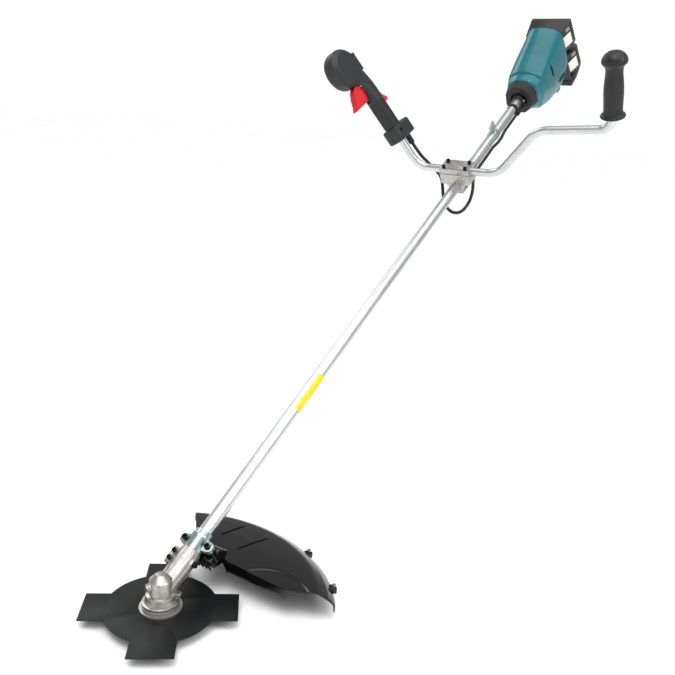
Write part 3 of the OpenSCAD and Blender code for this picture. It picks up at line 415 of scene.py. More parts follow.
def lathe(profile: Sequence[Flat], steps: int = 96) -> bmesh.types.BMesh:
    """Turns a profile of radius and height about local Z.

    Args:
        profile: Radius and height pairs. Radii of zero become poles.
        steps: The number of steps round.

    Returns:
        A closed mesh.
    """
    bm = bmesh.new()
    rings = []
    for radius, height in profile:
        if radius <= 0:
            rings.append([bm.verts.new((0, 0, height))])
            continue
        turns = (2 * math.pi * k / steps for k in range(steps))
        rings.append([bm.verts.new((radius * math.cos(a), radius * math.sin(a), height)) for a in turns])
    for one, two in zip(rings, rings[1:]):
        bridge(bm, one, two)
    return close_mesh(bm)


def bridge(bm: bmesh.types.BMesh, one: list, two: list) -> None:
    """Joins two rings of points by faces. A ring of one point is a pole."""
    count = max(len(one), len(two))
    for k in range(count):
        n = (k + 1) % count
        corners = [one[k % len(one)], one[n % len(one)], two[n % len(two)], two[k % len(two)]]
        unique = list(dict.fromkeys(corners))
        if len(unique) > 2:
            bm.faces.new(unique)


def loft(rings: Sequence[Sequence[Point]]) -> bmesh.types.BMesh:
    """Joins closed rings of equal count and caps both ends.

    Args:
        rings: Points of each ring.

    Returns:
        A closed mesh.
    """
    bm = bmesh.new()
    made = [[bm.verts.new(p) for p in ring] for ring in rings]
    for one, two in zip(made, made[1:]):
        bridge(bm, one, two)
    bm.faces.new(made[0])
    bm.faces.new(made[-1])
    return close_mesh(bm)


def oval(x0: float, x1: float, y_half: float, z: float, power: float, steps: int = 40) -> list[Point]:
    """Returns a rounded section from x0 to x1 at height z. A higher power is squarer."""
    middle, half = (x0 + x1) / 2, (x1 - x0) / 2

    def squared(value: float) -> float:
        """Returns a sine or cosine pushed out towards the corners."""
        return math.copysign(abs(value) ** (2 / power), value)

    turns = (2 * math.pi * k / steps for k in range(steps))
    return [(middle + half * squared(math.cos(a)), y_half * squared(math.sin(a)), z) for a in turns]


def merged(parts: Iterable[bmesh.types.BMesh]) -> bmesh.types.BMesh:
    """Puts several meshes into one, each still closed by itself."""
    whole = bmesh.new()
    for part in parts:
        mesh = bpy.data.meshes.new("part")
        part.to_mesh(mesh)
        part.free()
        whole.from_mesh(mesh)
        bpy.data.meshes.remove(mesh)
    return whole


def as_object(name: str, bm: bmesh.types.BMesh) -> bpy.types.Object:
    """Makes a scene object of a mesh and frees the mesh."""
    mesh = bpy.data.meshes.new(name)
    bm.to_mesh(mesh)
    bm.free()
    obj = bpy.data.objects.new(name, mesh)
    bpy.context.scene.collection.objects.link(obj)
    return obj


def applied(obj: bpy.types.Object) -> bpy.types.Object:
    """Turns the modifiers' result into the object's plain mesh and removes them."""
    graph = bpy.context.evaluated_depsgraph_get()
    graph.update()
    mesh = bpy.data.meshes.new_from_object(obj.evaluated_get(graph))
    old = obj.data
    obj.modifiers.clear()
    obj.data = mesh
    if old.users == 0:
        bpy.data.meshes.remove(old)
    return obj


def with_modifier(obj: bpy.types.Object, kind: str, **settings: object) -> bpy.types.Object:
    """Runs one modifier on the object and applies it.

    Args:
        obj: The object.
        kind: The modifier's type.
        settings: Its attributes.

    Returns:
        The same object with the result as its mesh.
    """
    modifier = obj.modifiers.new(kind.lower(), kind)
    for key, value in settings.items():
        setattr(modifier, key, value)
    return applied(obj)


def rounded(obj: bpy.types.Object, width: float, segments: int = 3, angle: float = 28) -> bpy.types.Object:
    """Rounds every edge sharper than an angle in degrees, by a width in the mesh's units."""
    edges = {"limit_method": "ANGLE", "angle_limit": math.radians(angle), "miter_outer": "MITER_ARC"}
    return with_modifier(obj, "BEVEL", width=width, segments=segments, use_clamp_overlap=True, **edges)


def carve(obj: bpy.types.Object, tool: bmesh.types.BMesh) -> bpy.types.Object:
    """Cuts a closed mesh out of an object, both in the same units."""
    cutter = as_object("cutter", tool)
    with_modifier(obj, "BOOLEAN", operation="DIFFERENCE", object=cutter, solver="EXACT")
    bpy.data.objects.remove(cutter)
    return obj


def smooth_shade(mesh: bpy.types.Mesh, angle: float) -> None:
    """Shades smooth but keeps edges sharper than the angle, in degrees."""
    mesh.polygons.foreach_set("use_smooth", [True] * len(mesh.polygons))
    mesh.set_sharp_from_angle(angle=math.radians(angle))


def deliver(
    obj: bpy.types.Object,
    axes: Axes | None,
    finish: Finish,
    body: str,
    nodes: Sequence[str] = (),
    angle: float = 32,
) -> bpy.types.Object:
    """Places a finished piece, gives it its finish and hands it to its body.

    Args:
        obj: The piece with its mesh in local millimetres.
        axes: The local axes, or None where the mesh is already in row metres.
        finish: Its finish.
        body: The body that it rides on.
        nodes: Construction nodes that it stands for.
        angle: The angle in degrees above which an edge stays sharp.

    Returns:
        The piece.
    """
    if axes is not None:
        obj.data.transform(axes.matrix())
    obj.data.materials.clear()
    obj.data.materials.append(finish.build())
    smooth_shade(obj.data, angle)
    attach(obj, body)
    if nodes:
        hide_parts(*nodes)
    LOG.info("%s: %d faces on %s", obj.name, len(obj.data.polygons), body)
    return obj


# ---------------------------------------------------------------- Geometry Nodes


class Layout(Enum):
    """How a repeated shape is set out."""

    RING = "ring"
    ROW = "row"


def repeat_tree(layout: Layout) -> bpy.types.NodeTree:
    """Builds the tree that sets out ribs on a ring, or blocks in a row.

    Args:
        layout: Ring or row.

    Returns:
        The node tree with named inputs.
    """
    found = bpy.data.node_groups.get(f"repeat_{layout.value}")
    if found:
        return found
    tree = bpy.data.node_groups.new(f"repeat_{layout.value}", "GeometryNodeTree")
    inputs = {"Count": "Int", "Spread": "Vector", "Size": "Vector", "Finish": "Material"}
    for name, kind in inputs.items():
        tree.interface.new_socket(name=name, in_out="INPUT", socket_type=f"NodeSocket{kind}")
    tree.interface.new_socket(name="Geometry", in_out="OUTPUT", socket_type="NodeSocketGeometry")
    given = add_node(tree, "NodeGroupInput").outputs
    size = add_node(tree, "ShaderNodeSeparateXYZ", links={"Vector": given["Size"]}).outputs
    if layout is Layout.RING:
        spread = add_node(tree, "ShaderNodeSeparateXYZ", links={"Vector": given["Spread"]}).outputs
        points = add_node(
            tree, "GeometryNodeMeshCircle", links={"Vertices": given["Count"], "Radius": spread["X"]}
        ).outputs["Mesh"]
        shape = add_node(
            tree, "GeometryNodeMeshCylinder", {"Vertices": 10}, {"Radius": size["X"], "Depth": size["Z"]}
        ).outputs["Mesh"]
    else:
        points = add_node(
            tree, "GeometryNodeMeshLine", links={"Count": given["Count"], "Offset": given["Spread"]}
        ).outputs["Mesh"]
        shape = add_node(tree, "GeometryNodeMeshCube", links={"Size": given["Size"]}).outputs["Mesh"]
    set_out = add_node(tree, "GeometryNodeInstanceOnPoints", links={"Points": points, "Instance": shape})
    real = add_node(tree, "GeometryNodeRealizeInstances", links={"Geometry": set_out.outputs["Instances"]})
    dressed = add_node(
        tree,
        "GeometryNodeSetMaterial",
        links={"Geometry": real.outputs["Geometry"], "Material": given["Finish"]},
    )
    add_node(tree, "NodeGroupOutput", links={"Geometry": dressed.outputs["Geometry"]})
    return tree


def repeated(
    name: str, layout: Layout, count: int, spread: Point, size: Point, finish: Finish
) -> bpy.types.Object:
    """Runs the tree for one row or ring and returns it as a plain mesh object.

    Args:
        name: The piece's name.
        layout: Ring or row.
        count: How many.
        spread: Step between neighbours, or the ring's radius in its first value.
        size: Size of each block, or a rib's radius and, last, its length.
        finish: The finish that the tree sets.

    Returns:
        The object, in local millimetres.
    """
    obj = as_object(name, bmesh.new())
    tree = repeat_tree(layout)
    modifier = obj.modifiers.new("repeat", "NODES")
    modifier.node_group = tree
    values = {"Count": count, "Spread": spread, "Size": size, "Finish": finish.build()}
    for item in tree.interface.items_tree:
        if item.in_out == "INPUT":
            modifier[item.identifier] = values[item.name]
    return applied(obj)


# ---------------------------------------------------------------- sub-assemblies


@dataclass
class Machine:
    """Shared places of all sub-assemblies."""

    axes: dict[str, Axes] = field(default_factory=machine_axes)

    def softened(
        self,
        node: str,
        name: str,
        finish: Finish,
        body: str,
        width: float,
        angle: float = 32,
    ) -> bpy.types.Object:
        """Makes a copy of a construction node with its edges broken as a maker would.

        Args:
            node: The construction node.
            name: The piece's name.
            finish: Its finish.
            body: The body that it rides on.
            width: The width of the broken edge in millimetres.
            angle: Edges sharper than this, in degrees, are broken.

        Returns:
            The piece, which stands for the node.
        """
        bm = bmesh.new()
        bm.from_mesh(frame["nodes"][node].data)
        bmesh.ops.remove_doubles(bm, verts=bm.verts, dist=1e-6)
        bmesh.ops.dissolve_limit(bm, angle_limit=math.radians(0.6), verts=bm.verts, edges=bm.edges)
        obj = as_object(name, bm)
        rounded(obj, width * MM, 2, angle)
        return deliver(obj, None, finish, body, (node,))

    def dress(self, finishes: dict[str, Finish]) -> None:
        """Gives construction nodes that stay their finishes."""
        for node, finish in finishes.items():
            obj = frame["nodes"][node]
            obj.data.materials.clear()
            obj.data.materials.append(finish.build())
            LOG.info("%s dressed in %s", node, finish.name)


@dataclass
class ControlCable:
    """The cable from the switch grip to the motor unit, in the pipe's axes."""

    radius: float = 3.8
    sides: int = 20
    route: tuple[Point, ...] = (
        (34, 134, 88), (33, 128, 77), (32, 122, 67), (31, 115, 56), (30, 106, 43), (29, 94, 31), (27, 82, 20),
        (23, 69, 10), (17, 58, 2), (8, 50, -6), (-4, 44, -15), (-18, 38, -26), (-32, 30, -38), (-43, 18, -47),
        (-49, 3, -52), (-47, -11, -53), (-37, -20, -51), (-21, -25, -46), (-3, -26, -40),
        (16, -24, -31), (32, -20, -21), (45, -16, -13), (57, -14, -10), (70, -14, -10), (95, -14, -10),
        (135, -14, -10), (175, -14, -10), (200, -16, -12), (228, -16, -12), (255, -14, -10),
        (295, -14, -10), (330, -14, -10), (365, -14, -10), (400, -14, -10),
    )

    def line(self, steps: int = 4) -> list[Vector]:
        """Returns the smooth centre line through the route's points, in local millimetres."""
        p = [Vector(q) for q in self.route]
        last = len(p) - 1
        points = []
        for i in range(last):
            a, b, c, d = p[max(i - 1, 0)], p[i], p[i + 1], p[min(i + 2, last)]
            for k in range(steps):
                t = k / steps
                bend = (c - a) * t + (2 * a - 5 * b + 4 * c - d) * t**2 + (3 * b - a - 3 * c + d) * t**3
                points.append(0.5 * (2 * b + bend))
        return [*points, p[last]]

    def build(self, axes: Axes) -> bpy.types.Object:
        line = self.line()
        rings = []
        up = Vector((0.2, 0.1, 1))
        for i, point in enumerate(line):
            ahead = (line[min(i + 1, len(line) - 1)] - line[max(i - 1, 0)]).normalized()
            side = ahead.cross(up).normalized()
            over = ahead.cross(side)
            turns = (2 * math.pi * k / self.sides for k in range(self.sides))
            rings.append([point + self.radius * (side * math.cos(a) + over * math.sin(a)) for a in turns])
        obj = as_object("control_cable_jacket", loft(rings))
        obj.data.transform(axes.matrix())
        obj.data.materials.append(JACKET.build())
        smooth_shade(obj.data, 40)
        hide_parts("control_cable")
        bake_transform(obj)
        return obj


@dataclass
class MotorUnit:
    """The teal housing with its nose, in the pipe's axes, 74 mm before the nose's rear end."""

    parting: float = 0.25
    # Station along the pipe: top height, roof, ridge, side and lower corner as half width and
    # height, bottom height, and the half width of the ridge on the other side
    stations: tuple[tuple[float, float, Flat, Flat, Flat, Flat, float, float], ...] = (
        (50, 40, (20, 38.5), (38, 26), (42, 0), (30, -28), -38, 36),
        (55, 45, (23, 43), (42, 29), (47, -2), (33, -33), -43, 39),
        (72, 52, (26, 49), (46, 36), (51.5, -6), (37, -43), -51, 42),
        (76, 57, (28, 54), (48, 41), (54.5, -8), (39, -47), -54, 43),
        (100, 68, (32, 64), (48.5, 51), (56, -10), (41, -53), -59, 43),
        (125, 80, (34, 75), (50, 58), (57, -12), (43, -58), -63, 44),
        (150, 91, (36, 85), (52, 66), (57.5, -14), (43, -62), -67, 43),
        (180, 107, (38, 101), (55, 79), (58, -16), (42, -66), -70, 40),
        (215, 125, (42, 119), (58, 95), (58.5, -18), (42, -68), -71, 37),
        (300, 152, (44, 147), (59, 124), (58.5, -20), (42, -68), -71, 35),
    )
    recess_from: Flat = (131, 52)
    recess_to: Flat = (147, 4)

    def ring(self, station: tuple) -> list[Point]:
        """Returns the closed section at a station, its wide ridge towards -Y."""
        x, top, roof, ridge, side, lower, bottom, other = station
        near = [(x, -y, z) for y, z in (roof, ridge, side, lower)]
        slim = other / ridge[0]
        far = [(x, y, z) for y, z in (lower, side, (other, ridge[1]), (roof[0] * slim, roof[1]))]
        return [(x, 0, top), *near, (x, 0, bottom), *far]

    def shell(self, rear: tuple[Vector, Vector]) -> bpy.types.Object:
        """Makes the whole housing body with its ridges.

        Args:
            rear: A point of the rear face and its outward direction, in local millimetres.

        Returns:
            The closed body.
        """
        bm = loft([self.ring(s) for s in self.stations])
        crease = bm.edges.layers.float.new("crease_edge")
        lines = {2: 0.9, 8: 0.55, 4: 0.45, 6: 0.45}
        rings = [self.ring(s) for s in self.stations]
        sharp = {tuple(round(c, 3) for c in r[k]): lines[k] for r in rings for k in lines}
        steps = {round(s[0], 3) for s in self.stations[:4]}
        for edge in bm.edges:
            ends = [tuple(round(c, 3) for c in v.co) for v in edge.verts]
            along = abs(ends[0][0] - ends[1][0]) > 1
            if along and all(e in sharp for e in ends):
                edge[crease] = min(sharp[e] for e in ends)
            elif not along and round(ends[0][0], 3) in steps:
                edge[crease] = 0.85
        obj = as_object("housing_body", bm)
        with_modifier(obj, "SUBSURF", levels=3, render_levels=3)
        bm = bmesh.new()
        bm.from_mesh(obj.data)
        geometry = bm.verts[:] + bm.edges[:] + bm.faces[:]
        cut = bmesh.ops.bisect_plane(bm, geom=geometry, plane_co=rear[0], plane_no=rear[1], clear_outer=True)
        rim = [e for e in cut["geom_cut"] if isinstance(e, bmesh.types.BMEdge)]
        bmesh.ops.holes_fill(bm, edges=rim)
        bmesh.ops.recalc_face_normals(bm, faces=bm.faces)
        bm.to_mesh(obj.data)
        bm.free()
        return obj

    def side_recess(self, side: int) -> bmesh.types.BMesh:
        """Returns the lozenge recess cut into one side of the housing."""
        start, end = Vector(self.recess_from), Vector(self.recess_to)
        run = (end - start).normalized()
        across = Vector((run.y, -run.x)) * 5.5
        middle = (start + end) / 2
        outline = [start, middle - run * 9 + across, middle + run * 9 + across, end,
                   middle + run * 9 - across, middle - run * 9 - across]
        bm = prism([(p.x, p.y) for p in outline], 0, 40)
        depth = 48.5 if side < 0 else 41.5
        bm.transform(Matrix.Translation((0, side * depth + (40 if side > 0 else 0), 0)) @ ACROSS)
        return bm

    def build(self, machine: Machine) -> None:
        """Builds the two housing halves, the nose and their trim."""
        pipe, stack = machine.axes["pipe"], machine.axes["stack"]
        _, nose_high = pipe.reach("nose_cover")
        axes = pipe.moved(nose_high.x - 74, 0, 0)
        inverse = axes.matrix().inverted()
        dock_low, _ = stack.reach("battery_dock")
        point = inverse @ stack.at(dock_low.x, 0, 0)
        outward = (inverse.to_3x3() @ stack.x).normalized()
        for side, node in ((1, "motor_case_left"), (-1, "motor_case_right")):
            obj = self.shell((point, outward))
            obj.name = f"{node}_moulding"
            carve(obj, block((0, -200 if side > 0 else -self.parting, -200),
                             (400, self.parting if side > 0 else 200, 300)))
            carve(obj, self.side_recess(side))
            deliver(obj, axes, TEAL, "frame", (node,), 24)
        self.nose(axes)
        self.board(axes)
        self.trim(axes)

    def nose(self, axes: Axes) -> None:
        """Builds the eight-sided nose with the deep socket round the pipe."""

        def eight(x: float, r: float) -> list[Point]:
            turns = (math.radians(22.5 + 45 * k) for k in range(8))
            return [(x, r * math.cos(a), r * math.sin(a)) for a in turns]

        rings = [eight(25, 37), eight(27, 39), eight(50, 44), eight(62, 46)]
        obj = rounded(as_object("nose_moulding", loft(rings)), 1.4, 3, 12)
        socket = lathe([(0, 10), (24, 10), (21, 40), (0, 40)], 48)
        socket.transform(ALONG_X)
        carve(obj, socket)
        deliver(obj, axes, CHARCOAL, "frame", ("nose_cover",), 20)
        collar = lathe([(12.1, 14), (16.5, 14), (17, 15), (17, 25), (16.5, 26), (12.1, 26), (12.1, 14)], 48)
        collar.transform(ALONG_X)
        obj = as_object("pipe_collar_clip", merged([collar, block((15, -22, -15), (25, -14, -4))]))
        rounded(obj, 0.6, 2, 40)
        deliver(obj, axes, CHARCOAL, "frame")
        head = lathe([(0, 0), (3.4, 0), (3.4, 1.8), (2.6, 2.6), (1.4, 2.6), (1.4, 1.2), (0, 1.2)], 24)
        head.transform(Matrix.Translation((20, -16.4, 3)) @ TO_SIDE)
        deliver(as_object("pipe_collar_screw", head), axes, ZINC, "frame")

    def board(self, axes: Axes) -> None:
        """Builds the controller board with its heat sink and capacitors."""
        parts = [block((132, -35, 54), (180, 35, 56))]
        for k in range(3):
            can = lathe([(0, 0), (5, 0), (5, 7), (4.4, 8), (0, 8)], 24)
            can.transform(Matrix.Translation((142 + 13 * k, 24, 56)))
            parts.append(can)
        parts += [block((136 + 8 * k, -28, 56), (140 + 8 * k, 6, 62)) for k in range(5)]
        deliver(as_object("controller_board", merged(parts)), axes, BOARD, "frame", ("controller",))

    def trim(self, axes: Axes) -> None:
        """Adds the side vents and the foot under the housing."""
        foot = as_object("housing_foot", block((238, -30, -92), (262, -12, -58)))
        rounded(foot, 3)
        deliver(foot, axes, TEAL, "frame")
        for side in (-1, 1):
            vent = repeated(f"vent_slats_{'right' if side < 0 else 'left'}", Layout.ROW, 5, (9, 0, 0),
                            (3.2, 2.0, 20), CHARCOAL)
            rounded(vent, 0.6, 2)
            vent.data.transform(Matrix.Translation((196, side * 53.2, -26)))
            deliver(vent, axes, CHARCOAL, "frame")


@dataclass
class BatteryPack:
    """One battery pack in the stack's axes, its origin in the middle of the upper pack."""

    length: float = 112
    width: float = 80
    height: float = 64
    set_back: float = 20
    edge: float = 5.0
    label: Flat = (31, 40)

    def plan(self) -> list[Flat]:
        """Returns the outline across the stack, with the slanted end towards -Y."""
        x, y = self.height / 2, self.length / 2
        return [(-x, y - 4), (-x + 4, y), (x - 4, y), (x, y - 4), (x, -y + 4), (x - 4, -y), (x - 18, -y),
                (-x + 10, -y + self.set_back), (-x, -y + self.set_back)]

    def slant(self, axes: Axes) -> Axes:
        """Returns axes on the slanted end: X up the slope, Z out of it."""
        x, y = self.height / 2, self.length / 2
        run = Vector((self.height - 28, -self.set_back, 0)).normalized()
        out = Vector((run.y, -run.x, 0))
        middle = Vector((-4, -y + self.set_back / 2, 0))
        turn = Matrix((run, (0, 0, 1), run.cross(Vector((0, 0, 1))))).transposed()
        flipped = turn if turn.col[2].dot(out) > 0 else turn @ Matrix.Diagonal((1, -1, -1))
        return axes.moved(*middle).turned(flipped)

    def build(self, axes: Axes, which: str) -> None:
        """Builds the case, its back ribs and the bare label of one pack.

        Args:
            axes: The pack's own axes.
            which: "upper" or "lower".
        """
        body = f"battery_{which}"
        case = as_object(f"{which}_pack_case", prism(self.plan(), -self.width / 2, self.width / 2))
        rounded(case, self.edge, 4, 20)
        face = -self.height / 2
        for rail_z in (-31, 23):
            carve(case, block((face - 1, -30, rail_z), (face + 8, 200, rail_z + 8)))
        low, high = axes.reach(f"{which}_latch_button")
        carve(case, block((low.x - 0.6, low.y - 20, low.z - 0.6), (high.x + 0.6, high.y + 4, high.z + 0.6)))
        deliver(case, axes, PACK, body, (body,), 30)
        slant = self.slant(axes)
        rim = as_object(f"{which}_label_rim", block((-18, -24, -0.5), (18, 22, 1.3)))
        rounded(rim, 1.2)
        deliver(rim, slant.moved(0, -4, 0), CHARCOAL, body)
        half_x, half_y = self.label[0] / 2, self.label[1] / 2
        film = as_object(f"{which}_label_film", block((-half_x, -half_y, 1.0), (half_x, half_y, 1.7)))
        rounded(film, 0.3, 2)
        deliver(film, slant.moved(0, -5, 0), LABEL, body)
        ribs = repeated(f"{which}_pack_ribs", Layout.ROW, 4, (0, 0, 9), (1.6, 84, 2.4), PACK)
        rounded(ribs, 0.6, 2)
        ribs.data.transform(Matrix.Translation((self.height / 2 + 0.1, 2, -13.5)))
        deliver(ribs, axes, PACK, body)
        top, back = self.width / 2, self.height / 2
        raised = block((4 - back, -22, top - 1), (back - 14, 48, top + 1.2))
        shoulder = as_object(f"{which}_pack_shoulder", raised)
        rounded(shoulder, 1.0)
        deliver(shoulder, axes, PACK, body)


@dataclass
class SwitchGrip:
    """The right-hand grip: ribbed handle, neck, round head and clamp collar."""

    radius: float = 19.3
    head_radius: float = 46
    head: Flat = (-34, 287)
    inner: float = -20
    outer: float = 22
    ribs: int = 34
    # Height, front, back, half width and squareness of the neck's sections
    neck: tuple[tuple[float, float, float, float, float], ...] = (
        (184, -20, 20, 20, 2.0), (198, -20.5, 20, 19.8, 2.1), (212, -22, 19.5, 19.2, 2.4),
        (226, -26.5, 18.5, 18.8, 2.6), (240, -35, 16, 18.8, 2.8), (254, -48, 13, 19, 3.0), (268, -60, 9, 19.4, 3.2),
    )

    # Outline of the room for the trigger, across and up the grip, and its half width
    trigger_room: tuple[Flat, ...] = (
        (-30, 240.5), (-44, 243), (-57, 235), (-68, 221), (-90, 215), (-90, 190), (-15, 190), (-13, 228), (-23, 241),
    )
    trigger_half: float = 8.5
    # Outline of the collar round the bar, and the heights between which it lies
    collar_outline: tuple[Flat, ...] = (
        (-26, -16), (-19, -23), (38, -23), (48, -14), (49, 12), (40, 23), (-19, 23), (-26, 16), (-29, 0),
    )
    collar_span: Flat = (77, 113)

    def head_body(self) -> bmesh.types.BMesh:
        """Returns the head, turned about the axis across the grip."""
        r = self.head_radius
        profile = [(0, self.inner), (r - 11, self.inner), (r - 9, self.inner + 0.6), (r - 1, self.inner + 9),
                   (r, self.inner + 12), (r, self.outer - 9), (r - 2, self.outer - 4), (r - 7, self.outer),
                   (0, self.outer)]
        bm = lathe(profile, 96)
        turn = Matrix(((1, 0, 0), (0, 0, 1), (0, -1, 0))).to_4x4()
        bm.transform(Matrix.Translation((self.head[0], 0, self.head[1])) @ turn)
        return bm

    def build(self, machine: Machine) -> None:
        """Builds the grip's shells and cuts the openings for its small parts."""
        axes = machine.axes["grip"]
        neck = loft([oval(d0, d1, half, q, power) for q, d0, d1, half, power in self.neck])
        body = as_object("switch_grip_head", merged([self.head_body(), neck]))
        with_modifier(body, "REMESH", mode="VOXEL", voxel_size=1.15, adaptivity=0.0)
        with_modifier(body, "SMOOTH", factor=0.5, iterations=5)
        self.slots(body, axes)
        deliver(body, axes, GRIP_SHELL, "handlebar",
                ("switch_case_inner", "switch_case_outer"), 40)
        handle = as_object("ribbed_handle", lathe([(9.2, 112), (self.radius, 112), (self.radius, 186), (9.2, 186)]))
        deliver(handle, axes, GRIP_SHELL, "handlebar")
        ribs = repeated("handle_ribs", Layout.RING, self.ribs, (self.radius, 0, 0), (0.75, 0, 68), RUBBER)
        ribs.data.transform(Matrix.Translation((0, 0, 150)))
        deliver(ribs, axes, GRIP_SHELL, "handlebar")
        self.collar(axes)

    def slots(self, body: bpy.types.Object, axes: Axes) -> None:
        """Cuts the openings of the trigger, the lock lever and the panel."""
        room = prism(self.trigger_room, -self.trigger_half, self.trigger_half)
        room.transform(ACROSS)
        carve(body, room)
        low, high = axes.reach("lock_lever")
        carve(body, block((low.x - 0.6, low.y - 0.6, 160), (high.x + 1, high.y + 0.6, high.z + 4)))
        low, high = axes.reach("control_panel")
        carve(body, block((low.x - 1, low.y - 0.3, low.z - 0.3), (high.x + 30, high.y + 0.3, high.z + 0.3)))

    def collar(self, axes: Axes) -> None:
        """Builds the clamp collar with the cable outlet behind the bar."""
        collar = as_object("clamp_collar", prism(self.collar_outline, *self.collar_span))
        rounded(collar, 4.5, 4, 20)
        carve(collar, block((-60, -0.4, 70), (60, 0.4, 120)))
        bore = lathe([(0, 60), (9.05, 60), (9.05, 130), (0, 130)], 48)
        carve(collar, bore)
        screw = lathe([(0, 18), (4, 18), (4, 40), (0, 40)], 32)
        screw.transform(Matrix.Translation((-6, 0, 99)) @ TO_SIDE)
        carve(collar, screw)
        deliver(collar, axes, GRIP_SHELL, "handlebar")


@dataclass
class Guard:
    """The guard over one side of the blade, in the blade's axes."""

    rim: float = 276.5
    wall: float = 2.4
    front: float = 112.3
    turn_from: float = -55
    turn_to: float = 31.4
    wing_turn: float = 43.03
    wing_reach: float = 55.66
    # Turns of the two screw lugs on the rim, in degrees, and the low ribs' ends on the top
    lug_turns: Flat = (-22, -45)
    ribs: tuple[tuple[Flat, Flat], ...] = (((169, 27), (232, 17)), ((149, -26), (226, -43)))
    # Profile of the top: radius and height
    profile: tuple[Flat, ...] = ((70, 43), (150, 42.4), (189, 41), (225, 37.6), (244, 35), (249, 33.4), (254, 30.6),
                                 (264, 24.5), (272, 17.5), (276.5, 13))

    def height(self, radius: float) -> float:
        """Returns the height of the top at a radius."""
        for (r0, z0), (r1, z1) in zip(self.profile, self.profile[1:]):
            if radius <= r1:
                return z0 + (z1 - z0) * (radius - r0) / (r1 - r0)
        return self.profile[-1][1]

    def start(self, turn: float) -> float:
        """Returns the radius where the sheet starts at a turn in degrees."""
        edge = self.front / math.cos(math.radians(turn))
        if turn <= 0:
            return edge
        return max(edge, self.wing_reach / math.sin(math.radians(self.wing_turn - turn)))

    def step(self, x: float, y: float) -> float:
        """Returns how far the panel beside the front edge is sunk at a point."""
        bulge = 38 * max(0.0, 1 - ((y + 145) / 62) ** 2) ** 0.6
        inside = (self.front + bulge - x) / 4
        return 2.2 * min(1.0, max(0.0, inside)) if bulge > 0 else 0.0

    def sheet(self) -> bmesh.types.BMesh:
        """Returns the moulded sheet with its rim and front skirt, before its wall."""
        bm = bmesh.new()
        columns, rows = 150, 58
        grid = []
        for i in range(columns + 1):
            turn = self.turn_from + (self.turn_to - self.turn_from) * i / columns
            c, s = math.cos(math.radians(turn)), math.sin(math.radians(turn))
            begin = self.start(turn)
            skirt = 19 if turn < -20 else 19 * max(0.0, 1 - (turn + 20) / 6) + 3
            line = [(begin, self.height(begin) - skirt * (1 - k / 4)) for k in range(4)]
            for k in range(rows + 1):
                radius = begin + (self.rim - begin) * k / rows
                line.append((radius, self.height(radius) - self.step(radius * c, radius * s)))
            line += [(self.rim, self.height(self.rim) - 12 * k / 4) for k in range(1, 5)]
            grid.append([bm.verts.new((r * c, r * s, z)) for r, z in line])
        for one, two in zip(grid, grid[1:]):
            for k in range(len(one) - 1):
                bm.faces.new((one[k], one[k + 1], two[k + 1], two[k]))
        bmesh.ops.recalc_face_normals(bm, faces=bm.faces)
        middle = min(bm.faces, key=lambda f: (f.calc_center_median() - Vector((180, 0, 41))).length)
        if middle.normal.z < 0:
            bmesh.ops.reverse_faces(bm, faces=bm.faces)
        return bm

    def rib(self, start: Flat, end: Flat) -> bmesh.types.BMesh:
        """Returns one low rib on the top between two points."""
        a, b = Vector((*start, 0)), Vector((*end, 0))
        side = (b - a).cross(Vector((0, 0, 1))).normalized() * 1.3
        rings = []
        for k in range(13):
            p = a + (b - a) * k / 12
            z = self.height(p.length)
            lift = 1.5 * min(1, k / 1.5, (12 - k) / 1.5)
            rings.append([p - side + Vector((0, 0, z - 1)), p - side * 0.7 + Vector((0, 0, z + lift)),
                          p + side * 0.7 + Vector((0, 0, z + lift)), p + side + Vector((0, 0, z - 1))])
        return loft(rings)

    def build(self, machine: Machine) -> None:
        """Builds the sheet, ribs, lugs and the screw boss under the bracket."""
        blade = machine.axes["blade"]
        sheet = as_object("guard_moulding", self.sheet())
        with_modifier(sheet, "SOLIDIFY", thickness=self.wall, offset=-1.0, use_even_offset=False)
        rounded(sheet, 0.7, 2, 60)
        deliver(sheet, blade, GLOSS_GUARD, "frame", ("guard",), 38)
        obj = as_object("guard_ribs", merged([self.rib(start, end) for start, end in self.ribs]))
        deliver(obj, blade, GLOSS_GUARD, "frame")
        lugs = []
        for turn in self.lug_turns:
            lug = block((self.rim - 12, -7, 5), (self.rim + 8.5, 7, 17))
            lug.transform(Matrix.Rotation(math.radians(turn), 4, "Z"))
            lugs.append(lug)
        obj = rounded(as_object("guard_lugs", merged(lugs)), 2.5)
        deliver(obj, blade, GLOSS_GUARD, "frame")
        self.boss(machine.axes["pipe"])

    def boss(self, pipe: Axes) -> None:
        """Builds the boss between the sheet and the bracket, with its screw pillars."""
        low, high = pipe.reach("guard_bracket")
        middle = (low.x + high.x) / 2 - 3
        corners = [(middle - 16, low.z - 1), (middle + 14, low.z - 1), (middle + 26, low.z - 24),
                   (middle + 6, low.z - 34), (middle - 14, low.z - 22)]
        body = prism(corners, -31, 31)
        body.transform(ACROSS)
        obj = rounded(as_object("guard_boss", body), 3, 3, 20)
        deliver(obj, pipe, GLOSS_GUARD, "frame")
        pillars = []
        for y in (-24, 24):
            pillar = lathe([(0, -34), (8.6, -34), (8.6, -4.2), (0, -4.2)], 48)
            pillar.transform(Matrix.Translation((middle, y, 0)))
            pillars.append(pillar)
        deliver(as_object("guard_pillars", merged(pillars)), pipe, GLOSS_GUARD, "frame")
        ribs = repeated("guard_boss_ribs", Layout.ROW, 7, (0, 8, 0), (3, 1.8, 22), GLOSS_GUARD)
        ribs.data.transform(Matrix.Translation((middle - 17, -24, low.z - 13)))
        deliver(ribs, pipe, GLOSS_GUARD, "frame")


